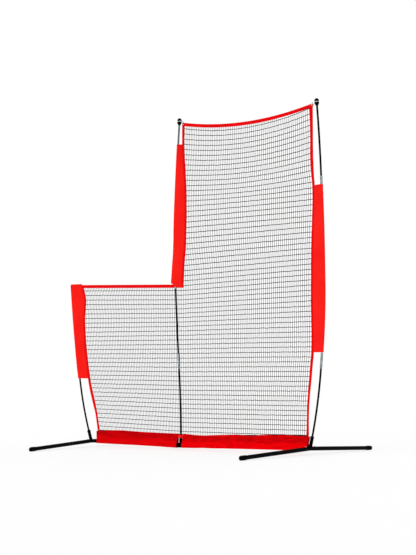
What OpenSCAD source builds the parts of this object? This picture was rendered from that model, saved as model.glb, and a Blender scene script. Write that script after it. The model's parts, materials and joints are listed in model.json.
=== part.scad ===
// Portable L-shaped pitching screen. Three flexible poles stand in a jointed steel base and
// stretch a bordered net. X runs along the crossbar, -Y faces the batter, Z is up. Millimetres.
// "Frame x" is measured from halfway between the two foot hubs. Every node is then moved by
// centre_x, so that the origin lies on the ground under the middle of the whole screen.

/* [Base frame] */
// Distance between the two foot hubs
hub_spacing = 1684; // [1500:1:1900]
// Distance from the right foot hub to the middle pole
middle_from_right = 946; // [850:1:1050]
// Outer diameter of the foot and crossbar tubes
tube_d = 25; // [22:0.5:28]
// Wall of the steel tubes
tube_wall = 1.5; // [1.2:0.1:2]
// Height of the tube axis at the foot hubs
hub_z = 38; // [32:0.5:50]
// How far the middle of the crossbar hangs below the hubs
crossbar_sag = 9; // [0:0.5:14]
// Reach of a foot arm from its hub to the end of its cap
arm_reach = 684; // [500:1:800]
// Angle by which the feet toe in at the front
toe_in = 5.4; // [0:0.1:8]
// Length of the hub's tube on each side of the crossbar
hub_sleeve = 70; // [60:1:90]
// Length of the hub's stub towards the crossbar
stub_len = 110; // [90:1:140]
// Length of bare stub between the hub and the crossbar tube
stub_bare = 44; // [30:1:50]
// Outer diameter of the middle tee
tee_d = 29; // [28:0.5:34]
// Half of the middle tee's length
tee_half = 55; // [50:1:70]

/* [Foot caps] */
// Outer diameter of a foot cap
cap_d = 29; // [28:0.5:34]
// Length of a foot cap
cap_len = 46; // [30:1:60]
// Thickness of a foot cap's closed end
cap_end = 4; // [3:0.5:8]
// Height of the foot's axis at the middle of its cap
cap_axis_z = 13.6; // [13:0.1:14]

/* [Pole sockets] */
// Outer diameter of a pole socket
socket_d = 21; // [19:0.5:24]
// Wall of a pole socket
socket_wall = 1.5; // [1.2:0.1:2]
// Length of a pole socket above the tube's axis
socket_len = 66; // [55:1:90]
// Height of the socket's floor above the tube's axis
socket_floor = 15.5; // [15:0.5:20]
// Outer diameter of the collar's rim
collar_rim_d = 23.5; // [22:0.5:26]
// Height of the collar's rim
collar_rim_h = 8; // [4:0.5:12]
// Outward lean of the left socket
left_lean = 17; // [10:0.5:18]
// Outward lean of the right socket
right_lean = 11.8; // [6:0.5:14]

/* [Poles] */
// Diameter of the fibreglass poles
pole_d = 12; // [9:0.5:12.5]
// Length of a pole section
section_len = 522; // [480:1:560]
// Length of the last section of the two tall poles
tip_section_len = 489; // [440:1:520]
// Outer diameter of a ferrule
ferrule_d = 15; // [14.5:0.5:16]
// Length of a ferrule
ferrule_len = 104; // [80:1:120]

/* [Tip knobs] */
// Outer diameter of a tip knob
knob_d = 30; // [24:1:36]
// Height of a tip knob
knob_h = 45; // [40:1:55]
// Depth of the pole inside a tip knob
knob_bore = 14; // [10:1:20]
// Diameter of the knob's groove
groove_d = 19; // [17:0.5:20]
// Height of the knob's groove
groove_h = 7; // [6:0.5:9]
// Diameter of the elastic corner loops
loop_cord_d = 4; // [3:0.5:5]

/* [Snap buttons] */
// Diameter of a snap button
button_d = 7; // [6:0.5:8]
// Height of a snap button above the outer tube
button_proud = 3; // [2:0.5:4]
// Diameter of a snap button's flange
flange_d = 9.5; // [9:0.5:11]
// Thickness of a snap button's flange
flange_h = 1.5; // [1:0.1:2]
// Thickness of the spring strip
spring_t = 0.6; // [0.5:0.1:0.8]
// Width of the spring strip
spring_w = 8; // [6:0.5:9]
// Length of the spring strip from the button to its bend
spring_len = 28; // [20:1:32]

/* [Netting and border] */
// Distance of the net's plane behind the poles
net_y = 12.5; // [12:0.5:16]
// Thickness of the netting's strands
strand = 2; // [1.5:0.1:3]
// Height of the net's lower edge at the hubs
net_bottom = 112; // [108:1:130]
// How far the net's lower edge hangs at the middle pole
net_bottom_sag = 9; // [0:1:14]
// Height of the border at the top corner of the middle pole
border_top = 2101; // [2080:1:2104]
// How much higher the border's other top corner lies
top_rise = 7; // [0:1:8]
// Sag of the top border between its corners
top_sag = 52; // [20:1:70]
// Width of the border tape
border_w = 21; // [18:1:26]
// Thickness of the border tape
border_t = 3; // [2:0.1:4]
// Height of the low border at the left pole
low_border_left = 1093; // [1080:1:1100]
// Height of the low border at the middle pole
low_border_right = 1061; // [1050:1:1070]
// Columns of mesh drawn in the tall panel
tall_columns = 11; // [8:1:12]
// Rows of mesh drawn in the tall panel
tall_rows = 17; // [12:1:18]
// Columns of mesh drawn in the low panel
low_columns = 9; // [6:1:10]
// Rows of mesh drawn in the low panel
low_rows = 9; // [6:1:10]

/* [Sleeves and bands] */
// Thickness of the sleeve and band cloth
cloth_t = 1.2; // [1:0.1:1.5]
// Height of the left sleeve's lower edge
left_sleeve_bottom = 459; // [440:1:500]
// Height of the left sleeve's closed top
left_sleeve_top = 1100; // [1095:1:1110]
// Height of the middle sleeve's lower edge
middle_sleeve_bottom = 1064; // [1064:1:1080]
// Height of the middle sleeve's upper edge
middle_sleeve_top = 1960; // [1900:1:1980]
// Height of the right sleeve's lower edge
right_sleeve_bottom = 614; // [614:1:650]
// Height of the right sleeve's upper edge
right_sleeve_top = 1615; // [1580:1:1640]
// Gap between the left band and its hub's axis
band_from_left_hub = 51; // [44:1:60]
// Gap between the right band and its hub's axis
band_from_right_hub = 30; // [30:1:60]
// Gap between a bottom band and the middle pole, on its left
band_left_of_middle = 27; // [24:1:40]
// Gap between a bottom band and the middle pole, on its right
band_right_of_middle = 18; // [16:1:30]
// How far the strap's lower edge lies below the middle socket's rim
strap_drop = 18; // [10:1:20]

/* [Hidden] */

// Fits
slip = 0.1;
pin_fit = 0.05;
cloth_gap = 0.3;
seam_gap = 0.2;
cut = 1;
facets = 48;

// Colours
steel_black = "#1b1b1d";
plastic_black = "#111113";
glass_black = "#202023";
silver = "#b9bcbf";
cloth_red = "#f0211c";
band_red = "#c8101c";
cord_grey = "#c4c6c8";
net_black = "#1a1a1a";

// Places and directions along the base
half_hub = hub_spacing / 2;
middle_x = half_hub - middle_from_right;
middle_z = hub_z - crossbar_sag;
left_run = middle_x + half_hub;
left_slope = atan(crossbar_sag / left_run);
right_slope = atan(crossbar_sag / middle_from_right);
left_bar_len = left_run / cos(left_slope);
right_bar_len = middle_from_right / cos(right_slope);
cap_middle = arm_reach - cap_len / 2;
arm_tilt = asin((hub_z - cap_axis_z) / cap_middle);

// Tubes that slide into each other
spigot_d = tube_d - 2 * tube_wall - 2 * slip;
spigot_bore = spigot_d - 2 * tube_wall;
tube_bore = tube_d - 2 * tube_wall;
tee_bore = tube_d + 2 * slip;
web_half = 13;
tee_web = 6;
arm_button = hub_sleeve - 25;
stub_button = stub_bare + 22;
tee_button = tee_half - 17;
stub_radius = spigot_d / 2;

// Poles: each has its foot, its height, its lean at every joint and its section lengths
pole_foot = socket_floor;
pole_seat = socket_len + collar_rim_h - pole_foot;
ferrule_half = ferrule_len / 2;
pole_end_d = pole_d - 2 * slip;
left_pole = [[-half_hub, hub_z], [-left_lean, -6.5, -4.5], [section_len, section_len]];
middle_pole = [[middle_x, middle_z], [0, -3.6, -2.2, 2.8, 4],
    [section_len, section_len, section_len, tip_section_len]];
right_pole = [[half_hub, hub_z], [right_lean, 4.5, -1, -2.6, -5],
    [section_len, section_len, section_len, tip_section_len]];

function heading(a) = [sin(a), cos(a)];
function seat(k) = k == 0 ? pole_seat : ferrule_half;
function top_seat(pole, k) = k == last(pole) - 1 ? knob_bore + cut : ferrule_half;
function arc_len(pole, k) = pole[2][k] - seat(k) - top_seat(pole, k);
function turn(pole, k) = pole[1][k + 1] - pole[1][k];
function chord(len, angle) =
    abs(angle) < 0.01 ? len : 2 * len / (angle * PI / 180) * sin(angle / 2);
function joint_at(pole, k) = k == 0
    ? pole[0] + pole_foot * heading(pole[1][0])
    : joint_at(pole, k - 1) + seat(k - 1) * heading(pole[1][k - 1])
        + chord(arc_len(pole, k - 1), turn(pole, k - 1))
            * heading((pole[1][k - 1] + pole[1][k]) / 2)
        + top_seat(pole, k - 1) * heading(pole[1][k]);
function last(pole) = len(pole[2]);
// Points along a pole's axis, as height and frame x
arc_steps = 8;
function on_arc(pole, k, t) = joint_at(pole, k) + seat(k) * heading(pole[1][k])
    + chord(t * arc_len(pole, k), t * turn(pole, k))
        * heading(pole[1][k] + t * turn(pole, k) / 2);
function axis_table(pole) = [
    [pole[0][1], pole[0][0]],
    for (k = [0 : last(pole) - 1], i = [0 : arc_steps])
        let (p = on_arc(pole, k, i / arc_steps)) [p[1], p[0]],
    let (p = joint_at(pole, last(pole))) [p[1], p[0]],
    let (p = joint_at(pole, last(pole)) + knob_h * heading(pole[1][last(pole)])) [p[1], p[0]]];
left_axis = axis_table(left_pole);
middle_axis = axis_table(middle_pole);
right_axis = axis_table(right_pole);

// Net edges: height, distance from the pole's axis to the tape, and width of the tape
right_hang = [[net_bottom, 31], [215, 51], [332, 64], [504, 65], [right_sleeve_bottom, 63],
    [860, 77], [960, 80], [1100, 78], [1260, 73], [1460, 60], [1560, 54],
    [right_sleeve_top, 53], [1710, 56], [1850, 52], [2060, 38], [border_top, 34]];
right_tape = [[net_bottom, 17], [215, 13], [332, 14], [504, 17], [right_sleeve_bottom, 17],
    [right_sleeve_top, 16], [1780, 20], [1920, 18], [2060, 23], [border_top, 24]];
left_hang = [[net_bottom, 68], [140, 72], [215, 79], [290, 74], [365, 66],
    [left_sleeve_bottom, 60], [560, 58], [699, 56], [868, 63], [990, 83],
    [low_border_left - border_w, 69], [left_sleeve_top, 66]];
left_tape = [[net_bottom, 18], [215, 16], [290, 21], [365, 22], [left_sleeve_bottom, 20],
    [560, 17]];
middle_hang = [[low_border_right, 38], [1164, 46], [1313, 62], [1463, 65], [1537, 63],
    [1686, 53], [1761, 45], [1910, 27], [middle_sleeve_top, 22], [border_top, 13]];
middle_tape = [[low_border_right, 16], [1164, 17], [1910, 17], [border_top, 19]];
// Slack of the sleeves beyond their poles
left_slack = [[left_sleeve_bottom, 4], [555, 7], [left_sleeve_top, 8]];
middle_slack = [[middle_sleeve_bottom, 27], [1176, 14.5], [1262, 4.5], [1348, 0.5]];

function right_outer(z) = lookup(z, right_axis) - lookup(z, right_hang);
function right_inner(z) = right_outer(z) - lookup(z, right_tape);
function left_outer(z) = lookup(z, left_axis) + lookup(z, left_hang);
function left_inner(z) = left_outer(z) + lookup(z, left_tape);
function middle_outer(z) = lookup(z, middle_axis) + lookup(z, middle_hang);
function middle_inner(z) = middle_outer(z) + lookup(z, middle_tape);

// Border and net heights along frame x
top_left_x = middle_outer(border_top);
top_right_x = right_outer(border_top);
function along(x, a, b) = (x - a) / (b - a);
function top_line(x) = let (u = along(x, top_left_x, top_right_x))
    border_top + top_rise * u - 4 * top_sag * u * (1 - u);
low_left_x = left_outer(low_border_left);
split_x = middle_inner(low_border_right);
function low_line(x) = low_border_left
    + (low_border_right - low_border_left) * along(x, low_left_x, split_x);
function bottom_line(x) = net_bottom - net_bottom_sag
    * (x < middle_x ? along(x, -half_hub, middle_x) : along(x, half_hub, middle_x));
function bar_z(x) = hub_z - crossbar_sag
    * (x < middle_x ? along(x, -half_hub, middle_x) : along(x, half_hub, middle_x));
function levels(a, b, n) = [for (i = [0 : n]) a + (b - a) * i / n];

// Heights at which the edges bend, shared by the tape, the net and the sleeves
sleeve_rings = 20;
right_low = levels(net_bottom - net_bottom_sag / 20, right_sleeve_bottom, 5);
right_mid = levels(right_sleeve_bottom, right_sleeve_top, sleeve_rings);
right_high = levels(right_sleeve_top, top_line(top_right_x) - border_w, 5);
left_low = levels(bottom_line(left_inner(net_bottom)), left_sleeve_bottom, 4);
left_mid = levels(left_sleeve_bottom, low_border_left - border_w, sleeve_rings);
left_rings = concat(left_mid, [left_sleeve_top]);
middle_mid = levels(low_border_right, middle_sleeve_top, sleeve_rings);
middle_high = levels(middle_sleeve_top, border_top - border_w, 2);

// The radius at whose facets a cloth pocket still clears a round of radius r
round_steps = 6;
function round_cover(r) = (r + cloth_gap) / cos(90 / round_steps);

// The whole screen's middle
pocket_r = round_cover(ferrule_d / 2 + slip) + cloth_t;
right_most = max([for (z = right_mid) lookup(z, right_axis)]) + pocket_r;
left_most = min([for (z = left_rings) lookup(z, left_axis) - lookup(z, left_slack)])
    - pocket_r;
centre_x = (right_most + left_most) / 2;

module placed() {
    translate([-centre_x, 0, 0]) children();
}

// Stands the xz plane up: a drawing's x stays x and its y becomes height
module upright(y) {
    translate([0, y, 0]) rotate([90, 0, 0]) children();
}

module tube(len, outer, inner) {
    difference() {
        cylinder(h = len, d = outer, $fn = facets);
        translate([0, 0, -cut]) cylinder(h = len + 2 * cut, d = inner, $fn = facets);
    }
}

// ---- Frames of the base. A side is 1 on the right and -1 on the left ----

module at_hub(side) {
    placed() translate([side * half_hub, 0, hub_z]) mirror([side < 0 ? 1 : 0, 0, 0]) children();
}

// Local X runs out along a foot arm, front is 1 towards the batter and -1 away from it
module along_arm(front) {
    rotate([0, 0, -90 * front - toe_in]) rotate([0, arm_tilt, 0]) children();
}

// Local X runs from the hub to the middle tee
module along_bar(side) {
    rotate([0, side > 0 ? -right_slope : -left_slope, 0]) mirror([1, 0, 0]) children();
}

module lying() {
    rotate([0, 90, 0]) children();
}

// ---- Base ----

module socket_shell() {
    cylinder(h = socket_len, d = socket_d, $fn = facets);
}

module socket_bore() {
    translate([0, 0, socket_floor])
        cylinder(h = socket_len, d = socket_d - 2 * socket_wall, $fn = facets);
}

module button_hole(at) {
    translate([at, 0, 0]) cylinder(h = tube_d, d = button_d + 2 * pin_fit, $fn = facets);
}

module hub(side) {
    lean = side > 0 ? right_lean : left_lean;
    color(steel_black) at_hub(side) difference() {
        union() {
            for (front = [1, -1])
                along_arm(front) lying() cylinder(h = hub_sleeve, d = tube_d, $fn = facets);
            along_bar(side) lying() cylinder(h = stub_len, d = spigot_d, $fn = facets);
            rotate([0, lean, 0]) socket_shell();
        }
        for (front = [1, -1])
            along_arm(front) {
                translate([web_half, 0, 0]) lying()
                    cylinder(h = hub_sleeve, d = tube_bore, $fn = facets);
                button_hole(arm_button);
            }
        along_bar(side) {
            translate([tube_d / 2 + tube_wall, 0, 0]) lying()
                cylinder(h = stub_len, d = spigot_bore, $fn = facets);
            button_hole(stub_button);
        }
        rotate([0, lean, 0]) socket_bore();
    }
}

// A foot arm: a tube whose swaged end slides into the hub
module foot_arm(side, front) {
    spigot_start = web_half + cut;
    tube_end = arm_reach - cap_end;
    color(steel_black) at_hub(side) along_arm(front) difference() {
        lying() rotate_extrude($fn = facets) polygon([
            [spigot_bore / 2, spigot_start],
            [spigot_d / 2, spigot_start],
            [spigot_d / 2, hub_sleeve + slip],
            [tube_d / 2, hub_sleeve + slip],
            [tube_d / 2, tube_end],
            [tube_bore / 2, tube_end],
            [tube_bore / 2, hub_sleeve + tube_wall],
            [spigot_bore / 2, hub_sleeve - tube_wall]]);
        button_hole(arm_button);
    }
}

// A foot cap: a rubber cup with a rounded end, cut flat where it stands
module foot_cap(side, front) {
    round_r = cap_d / 5;
    cap_start = arm_reach - cap_len;
    color(plastic_black) difference() {
        at_hub(side) along_arm(front) lying() rotate_extrude($fn = facets) polygon(concat(
            [[0, arm_reach - cap_end], [tube_d / 2 + slip, arm_reach - cap_end],
                [tube_d / 2 + slip, cap_start], [cap_d / 2 - slip, cap_start],
                [cap_d / 2, cap_start + cut]],
            [for (a = [0 : 15 : 90]) [cap_d / 2 - round_r + round_r * cos(a),
                arm_reach - round_r + round_r * sin(a)]],
            [[0, arm_reach]]));
        translate([-hub_spacing, -2 * arm_reach, -tube_d])
            cube([2 * hub_spacing, 4 * arm_reach, tube_d]);
    }
}

module crossbar(side) {
    bar_end = (side > 0 ? right_bar_len : left_bar_len) - tee_web - cut;
    tee_hole = bar_end + tee_web + cut - tee_button;
    color(steel_black) at_hub(side) along_bar(side) difference() {
        translate([stub_bare, 0, 0]) lying() tube(bar_end - stub_bare, tube_d, tube_bore);
        button_hole(stub_button);
        button_hole(tee_hole);
    }
}

module middle_tee() {
    color(steel_black) placed() difference() {
        translate([middle_x, 0, middle_z]) union() {
            translate([-tee_half, 0, 0]) lying()
                cylinder(h = 2 * tee_half, d = tee_d, $fn = facets);
            socket_shell();
        }
        translate([middle_x, 0, middle_z]) {
            socket_bore();
            rotate([0, left_slope, 0]) mirror([1, 0, 0]) tee_bore_cut();
            rotate([0, -right_slope, 0]) tee_bore_cut();
        }
    }
}

module tee_bore_cut() {
    translate([tee_web, 0, 0]) lying() cylinder(h = tee_half, d = tee_bore, $fn = facets);
    button_hole(tee_button);
}

// The collar that holds a pole in its socket
module collar() {
    bush_d = socket_d - 2 * socket_wall - 2 * slip;
    bush_start = socket_floor + cut;
    bore_d = pole_d + 2 * slip;
    rotate_extrude($fn = facets) polygon([
        [bore_d / 2, bush_start],
        [bush_d / 2, bush_start],
        [bush_d / 2, socket_len],
        [collar_rim_d / 2, socket_len],
        [collar_rim_d / 2, socket_len + collar_rim_h - cut],
        [collar_rim_d / 2 - cut, socket_len + collar_rim_h],
        [bore_d / 2, socket_len + collar_rim_h]]);
}

module socket_collars() {
    color(plastic_black) placed() for (pole = [left_pole, middle_pole, right_pole])
        translate([pole[0][0], 0, pole[0][1]]) rotate([0, pole[1][0], 0]) collar();
}

// ---- Poles ----

// A rod that starts up along Z and bends towards +X by an angle
module bent_rod(len, angle, d) {
    bend_r = len / (abs(angle) * PI / 180);
    mirror([angle < 0 ? 1 : 0, 0, 0]) translate([bend_r, 0, 0]) rotate([90, 0, 0])
        rotate([0, 0, 180 - abs(angle)])
            rotate_extrude(angle = abs(angle), $fn = 720) translate([bend_r, 0])
                circle(d = d, $fn = facets);
}

// A section's two ends are straight and ground a little thinner, to fit their ferrules
module pole_section(pole, k) {
    bend = turn(pole, k);
    bow_len = arc_len(pole, k);
    start = joint_at(pole, k);
    straight_end = seat(k);
    bow_chord = chord(bow_len, bend);
    color(glass_black) placed() translate([start[0], 0, start[1]]) rotate([0, pole[1][k], 0]) {
        cylinder(h = straight_end + cut, d = pole_end_d, $fn = facets);
        translate([0, 0, straight_end]) bent_rod(bow_len, bend, pole_d);
        translate([bow_chord * sin(bend / 2), 0, straight_end + bow_chord * cos(bend / 2)])
            rotate([0, bend, 0]) translate([0, 0, -cut])
                cylinder(h = top_seat(pole, k) + cut, d = pole_end_d, $fn = facets);
    }
}

module at_joint(pole, k) {
    p = joint_at(pole, k);
    placed() translate([p[0], 0, p[1]]) rotate([0, pole[1][k], 0]) children();
}

module ferrules() {
    color(silver) for (pole = [left_pole, middle_pole, right_pole])
        for (k = [1 : last(pole) - 1])
            at_joint(pole, k) translate([0, 0, -ferrule_half])
                tube(ferrule_len, ferrule_d, pole_end_d + 2 * pin_fit);
}

// A tip knob: a cone that holds the pole, a groove for the corner loop and a domed head
module knob(pole) {
    r = knob_d / 2;
    groove_z = knob_h * 0.43;
    head_z = groove_z + groove_h;
    head_h = knob_h - head_z;
    color(plastic_black) at_joint(pole, last(pole)) translate([0, 0, -knob_bore])
        rotate_extrude($fn = facets) polygon(concat(
            [[0, knob_bore], [pole_d / 2, knob_bore], [pole_d / 2, 0],
                [r * 0.5, 0], [r * 0.62, groove_z * 0.2], [r * 0.9, groove_z * 0.62],
                [r * 0.98, groove_z * 0.85], [r * 0.94, groove_z], [groove_d / 2, groove_z],
                [groove_d / 2, head_z], [r * 0.93, head_z]],
            [for (a = [10 : 16 : 74]) [r * cos(a), head_z + head_h * (0.1 + 0.9 * sin(a))]],
            [[0, knob_h]]));
}

module tip_cap_left() {
    cap_h = knob_bore + cut;
    color(plastic_black) at_joint(left_pole, last(left_pole)) translate([0, 0, -knob_bore])
        difference() {
            cylinder(h = cap_h, d = pole_d + cloth_t, $fn = facets);
            translate([0, 0, -cut])
                cylinder(h = knob_bore + cut, d = pole_d + 2 * pin_fit, $fn = facets);
        }
}

// ---- Tubes swept along closed routes ----

function unit(v) = v / norm(v);

module closed_cord(route, r, sides, up) {
    n = len(route);
    points = [for (i = [0 : n - 1])
        let (dir = unit(route[(i + 1) % n] - route[(i + n - 1) % n]),
            side = unit(cross(dir, up)), lift = cross(side, dir))
        for (j = [0 : sides - 1]) route[i]
            + r * (cos(360 * j / sides) * side + sin(360 * j / sides) * lift)];
    faces = [for (i = [0 : n - 1], j = [0 : sides - 1])
        let (a = i * sides + j, b = i * sides + (j + 1) % sides,
            c = ((i + 1) % n) * sides + (j + 1) % sides, d = ((i + 1) % n) * sides + j)
        each [[a, c, b], [a, d, c]]];
    polyhedron(points, faces);
}

// An elastic loop: round the knob's groove and through the net's corner eyelet
eyelet_in = 11;
eyelet_d = 9;
module corner_loop(pole, toward, eyelet) {
    tip = joint_at(pole, last(pole));
    groove = tip + (knob_h * 0.43 + groove_h / 2 - knob_bore) * heading(pole[1][last(pole)]);
    loop_r = groove_d / 2 + loop_cord_d / 2 + cloth_gap;
    eye_r = border_t / 2 + loop_cord_d / 2 + cloth_gap;
    clear_r = knob_d / 2 + loop_cord_d * 0.75;
    rear_y = net_y + eye_r;
    lean = tan(pole[1][last(pole)]);
    color(cord_grey) placed() closed_cord(concat(
        [[groove[0] + toward * clear_r, -loop_r * 0.9, groove[1] - toward * clear_r * lean]],
        [for (a = [-90 : 18 : 72]) [groove[0] - toward * loop_r * cos(a), loop_r * sin(a),
            groove[1] + toward * loop_r * cos(a) * lean]],
        [[groove[0] + toward * clear_r, rear_y, groove[1] - toward * clear_r * lean]],
        [for (a = [90 : -30 : -90]) [eyelet[0] + toward * eye_r * (cos(a) - 1),
            net_y + eye_r * 1.4 * sin(a), eyelet[1]]]),
        loop_cord_d / 2, 8, [0, 0, toward]);
}

// ---- Snap buttons. Local Z points out through the tube walls ----

function flange_z(bore) = sqrt(bore * bore / 4 - flange_d * flange_d / 4) - 2 * slip;

module button(bore, outer) {
    top = outer / 2 + button_proud;
    seat_z = flange_z(bore);
    rotate_extrude($fn = facets) polygon([
        [0, seat_z - flange_h],
        [flange_d / 2, seat_z - flange_h],
        [flange_d / 2, seat_z],
        [button_d / 2, seat_z],
        [button_d / 2, top - cut],
        [button_d / 2 - cut, top],
        [0, top]]);
}

module spring(bore) {
    high = flange_z(bore) - flange_h;
    low = -sqrt(bore * bore / 4 - spring_w * spring_w / 4) + slip;
    lip = button_d / 2;
    nose = 1.2;
    inner_nose = nose - spring_t;
    translate([0, spring_w / 2, 0]) rotate([90, 0, 0]) linear_extrude(spring_w) polygon([
        [lip, high], [-lip, high], [-spring_len, nose], [-spring_len, -nose],
        [-lip, low], [lip, low], [lip, low + spring_t], [-lip, low + spring_t],
        [-spring_len + spring_t, -inner_nose], [-spring_len + spring_t, inner_nose],
        [-lip, high - spring_t], [lip, high - spring_t]]);
}

module on_arm(side, front) {
    at_hub(side) along_arm(front) translate([arm_button, 0, 0]) children();
}

module on_stub(side) {
    at_hub(side) along_bar(side) translate([stub_button, 0, 0]) children();
}

module on_tee(side) {
    bar_len = side > 0 ? right_bar_len : left_bar_len;
    at_hub(side) along_bar(side) translate([bar_len - tee_button, 0, 0]) children();
}

module small_button() {
    color(silver) button(spigot_bore, tube_d);
}

module small_spring() {
    color(silver) spring(spigot_bore);
}

module tee_side_button() {
    color(silver) button(tube_bore, tee_d);
}

module tee_side_spring() {
    color(silver) spring(tube_bore);
}

// ---- Cloth pockets: a teardrop that goes round a pole or tube and closes in a seam ----

// How far round the front the cloth clings before it leaves in a straight line for the seam
function cling(r, reach, y) = atan2(y, reach) + asin(r / norm([reach, y]));
// u runs from the round end's centre to the seam, v is the thickness, lift moves the seam
function teardrop(r, belly, seam, half_seam, lift) = concat(
    [for (i = [0 : round_steps]) let (a = 90 + 180 * i / round_steps) [r * cos(a), r * sin(a)]],
    [for (share = [0.5, 1]) let (a = share * cling(r, seam - belly, lift - half_seam))
        [belly + r * sin(a), -r * cos(a)]],
    [[(belly + seam) / 2, lift * 0.4 - (r + half_seam) * 0.47],
        [seam, lift - half_seam], [seam, lift + half_seam],
        [(belly + seam) / 2, lift * 0.6 + (r + half_seam) * 0.47], [belly, r]]);
outline_n = round_steps + 8;

module pocket(outer, inner, closed_top) {
    rings = len(outer);
    inner_rings = len(inner);
    n = outline_n;
    points = concat([for (ring = outer) each ring], [for (ring = inner) each ring]);
    base = rings * n;
    last_in = base + (inner_rings - 1) * n;
    last_out = (rings - 1) * n;
    walls = [for (k = [0 : rings - 2], j = [0 : n - 1])
        let (a = k * n + j, b = k * n + (j + 1) % n, c = b + n, d = a + n)
        each [[a, c, b], [a, d, c]]];
    lining = [for (k = [0 : inner_rings - 2], j = [0 : n - 1])
        let (a = base + k * n + j, b = base + k * n + (j + 1) % n, c = b + n, d = a + n)
        each [[a, b, c], [a, c, d]]];
    mouth = [for (j = [0 : n - 1]) let (a = j, b = (j + 1) % n)
        each [[a, b, base + b], [a, base + b, base + a]]];
    rim = [for (j = [0 : n - 1])
        let (a = last_out + j, b = last_out + (j + 1) % n,
            c = last_in + (j + 1) % n, d = last_in + j)
        each [[a, c, b], [a, d, c]]];
    lids = [for (j = [1 : n - 2]) each [[last_out, last_out + j + 1, last_out + j],
        [last_in, last_in + j, last_in + j + 1]]];
    polyhedron(points, concat(walls, lining, mouth, closed_top ? lids : rim));
}

// One level of a sleeve: the pole at x, the seam towards the net, and any slack beyond the pole
function sleeve_ring(z, x, slack, seam_x, inset, tilt) =
    let (toward = sign(seam_x - x), r = pocket_r - inset, reach = abs(seam_x - x) - cloth_gap,
        shape = teardrop(r, max(slack, pin_fit), reach + slack - inset * 2.5,
            border_t / 2 - inset * 0.8, net_y))
    [for (i = [0 : outline_n - 1])
        let (p = shape[toward > 0 ? i : outline_n - 1 - i])
        [x + toward * (p[0] - slack), p[1], z + tilt * along(p[0] - slack, reach, 0)]];

// The rings at the two ends may tilt, as the hems do
function sleeve_shape(zs, axis, seams, slacks, inset, tilts) = [for (i = [0 : len(zs) - 1])
    sleeve_ring(zs[i], lookup(zs[i], axis), slacks[i], seams[i], inset,
        i == 0 ? tilts[0] : i == len(zs) - 1 ? tilts[1] : 0)];

module sleeve(zs, axis, seams, slacks, tilts, closed_top) {
    n = len(zs) - 1;
    inner_zs = [for (i = [0 : n]) closed_top && i == n ? zs[i] - cloth_t : zs[i]];
    color(cloth_red) placed() pocket(sleeve_shape(zs, axis, seams, slacks, 0, tilts),
        sleeve_shape(inner_zs, axis, seams, slacks, cloth_t, tilts), closed_top);
}

module sleeve_left() {
    sleeve(left_rings, left_axis, [for (z = left_rings) left_outer(z)],
        [for (z = left_rings) lookup(z, left_slack)], [0, 0], true);
}

module sleeve_middle() {
    zs = concat([middle_sleeve_bottom], [for (i = [1 : sleeve_rings]) middle_mid[i]]);
    sleeve(zs, middle_axis, [for (z = zs) middle_outer(z)],
        [for (z = zs) lookup(z, middle_slack)], [6, 0], false);
}

module sleeve_right() {
    sleeve(right_mid, right_axis, [for (z = right_mid) right_outer(z)],
        [for (z = right_mid) 0], [0, 0], false);
}

// One station of a bottom band: round the crossbar at x, with its seam under the net
function band_ring(x, inset) =
    let (r = round_cover(mix(tube_d / 2, tee_d / 2 + tee_slope, bar_near(x))) + cloth_t - inset,
        seam = bottom_line(x) - bar_z(x) - cloth_gap - inset * 2.5,
        shape = teardrop(r, button_proud + cut, seam, border_t / 2 - inset * 0.8, net_y))
    [for (p = shape) [x, p[1], bar_z(x) + p[0]]];
// How far the sloping crossbar's axis leaves the level tee's by the tee's end
tee_slope = crossbar_sag * tee_half / left_run;
// 1 where the band has to go over the tee, 0 where it is well clear of it
function bar_near(x) = max(0, min(1, (3 * tee_half - abs(x - middle_x)) / tee_half));

module band(from_x, to_x) {
    stations = levels(from_x, to_x, 12);
    color(band_red) placed() pocket([for (x = stations) band_ring(x, 0)],
        [for (x = stations) band_ring(x, cloth_t)], false);
}

module band_left() {
    band(middle_x - band_left_of_middle, -half_hub + band_from_left_hub);
}

module band_right() {
    band(half_hub - band_from_right_hub, middle_x + band_right_of_middle);
}

// The strap that holds the two bands together in front of the middle socket
module middle_strap() {
    strap_in = collar_rim_d / 2 + cloth_gap;
    strap_out = strap_in + cloth_t;
    tail_y = net_y / 3;
    left_end = band_left_of_middle - cloth_gap;
    right_end = band_right_of_middle - cloth_gap;
    color(band_red) placed() translate([middle_x, 0, middle_z + socket_len - strap_drop])
        linear_extrude(border_w) polygon(concat(
            [[-left_end, tail_y + cloth_t]],
            [for (a = [170 : 10 : 370]) strap_in * [cos(a), sin(a)]],
            [[right_end, tail_y + cloth_t], [right_end, tail_y]],
            [for (a = [360 : -10 : 180]) strap_out * [cos(a), sin(a)]],
            [[-left_end, tail_y]]));
}

// ---- Border tape ----

module tape(outline) {
    color(cloth_red) placed() upright(net_y + border_t / 2) linear_extrude(border_t)
        polygon(outline);
}

function reversed(list) = [for (i = [len(list) - 1 : -1 : 0]) list[i]];
top_steps = 24;

module eyelet_hole(at) {
    color(cloth_red) placed() upright(net_y + border_t) translate(at)
        cylinder(h = 2 * border_t, d = eyelet_d, $fn = facets);
}

module border_top_tall() {
    xs = levels(top_left_x, top_right_x, top_steps);
    difference() {
        tape(concat([for (x = xs) [x, top_line(x)]],
            [for (x = reversed(xs)) [x, top_line(x) - border_w]]));
        eyelet_hole(middle_eyelet);
        eyelet_hole(right_eyelet);
    }
}

module border_top_low() {
    xs = levels(low_left_x, split_x, 8);
    low_x = left_outer(low_border_left - border_w);
    tape(concat([for (x = xs) [x, low_line(x)]],
        [for (x = reversed(xs)) [x == low_left_x ? low_x : x, low_line(x) - border_w]]));
}

// A side tape ends just under the strip above it
function under_tall(x, z) = [x, min(z, tall_top(x) - seam_gap)];
function under_low(x, z) = [x, min(z, low_top(x) - seam_gap)];

module border_left() {
    tape(concat([for (z = left_edge) under_low(left_outer(z), z)],
        [for (z = reversed(left_edge)) under_low(left_inner(z), z)]));
}

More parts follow.
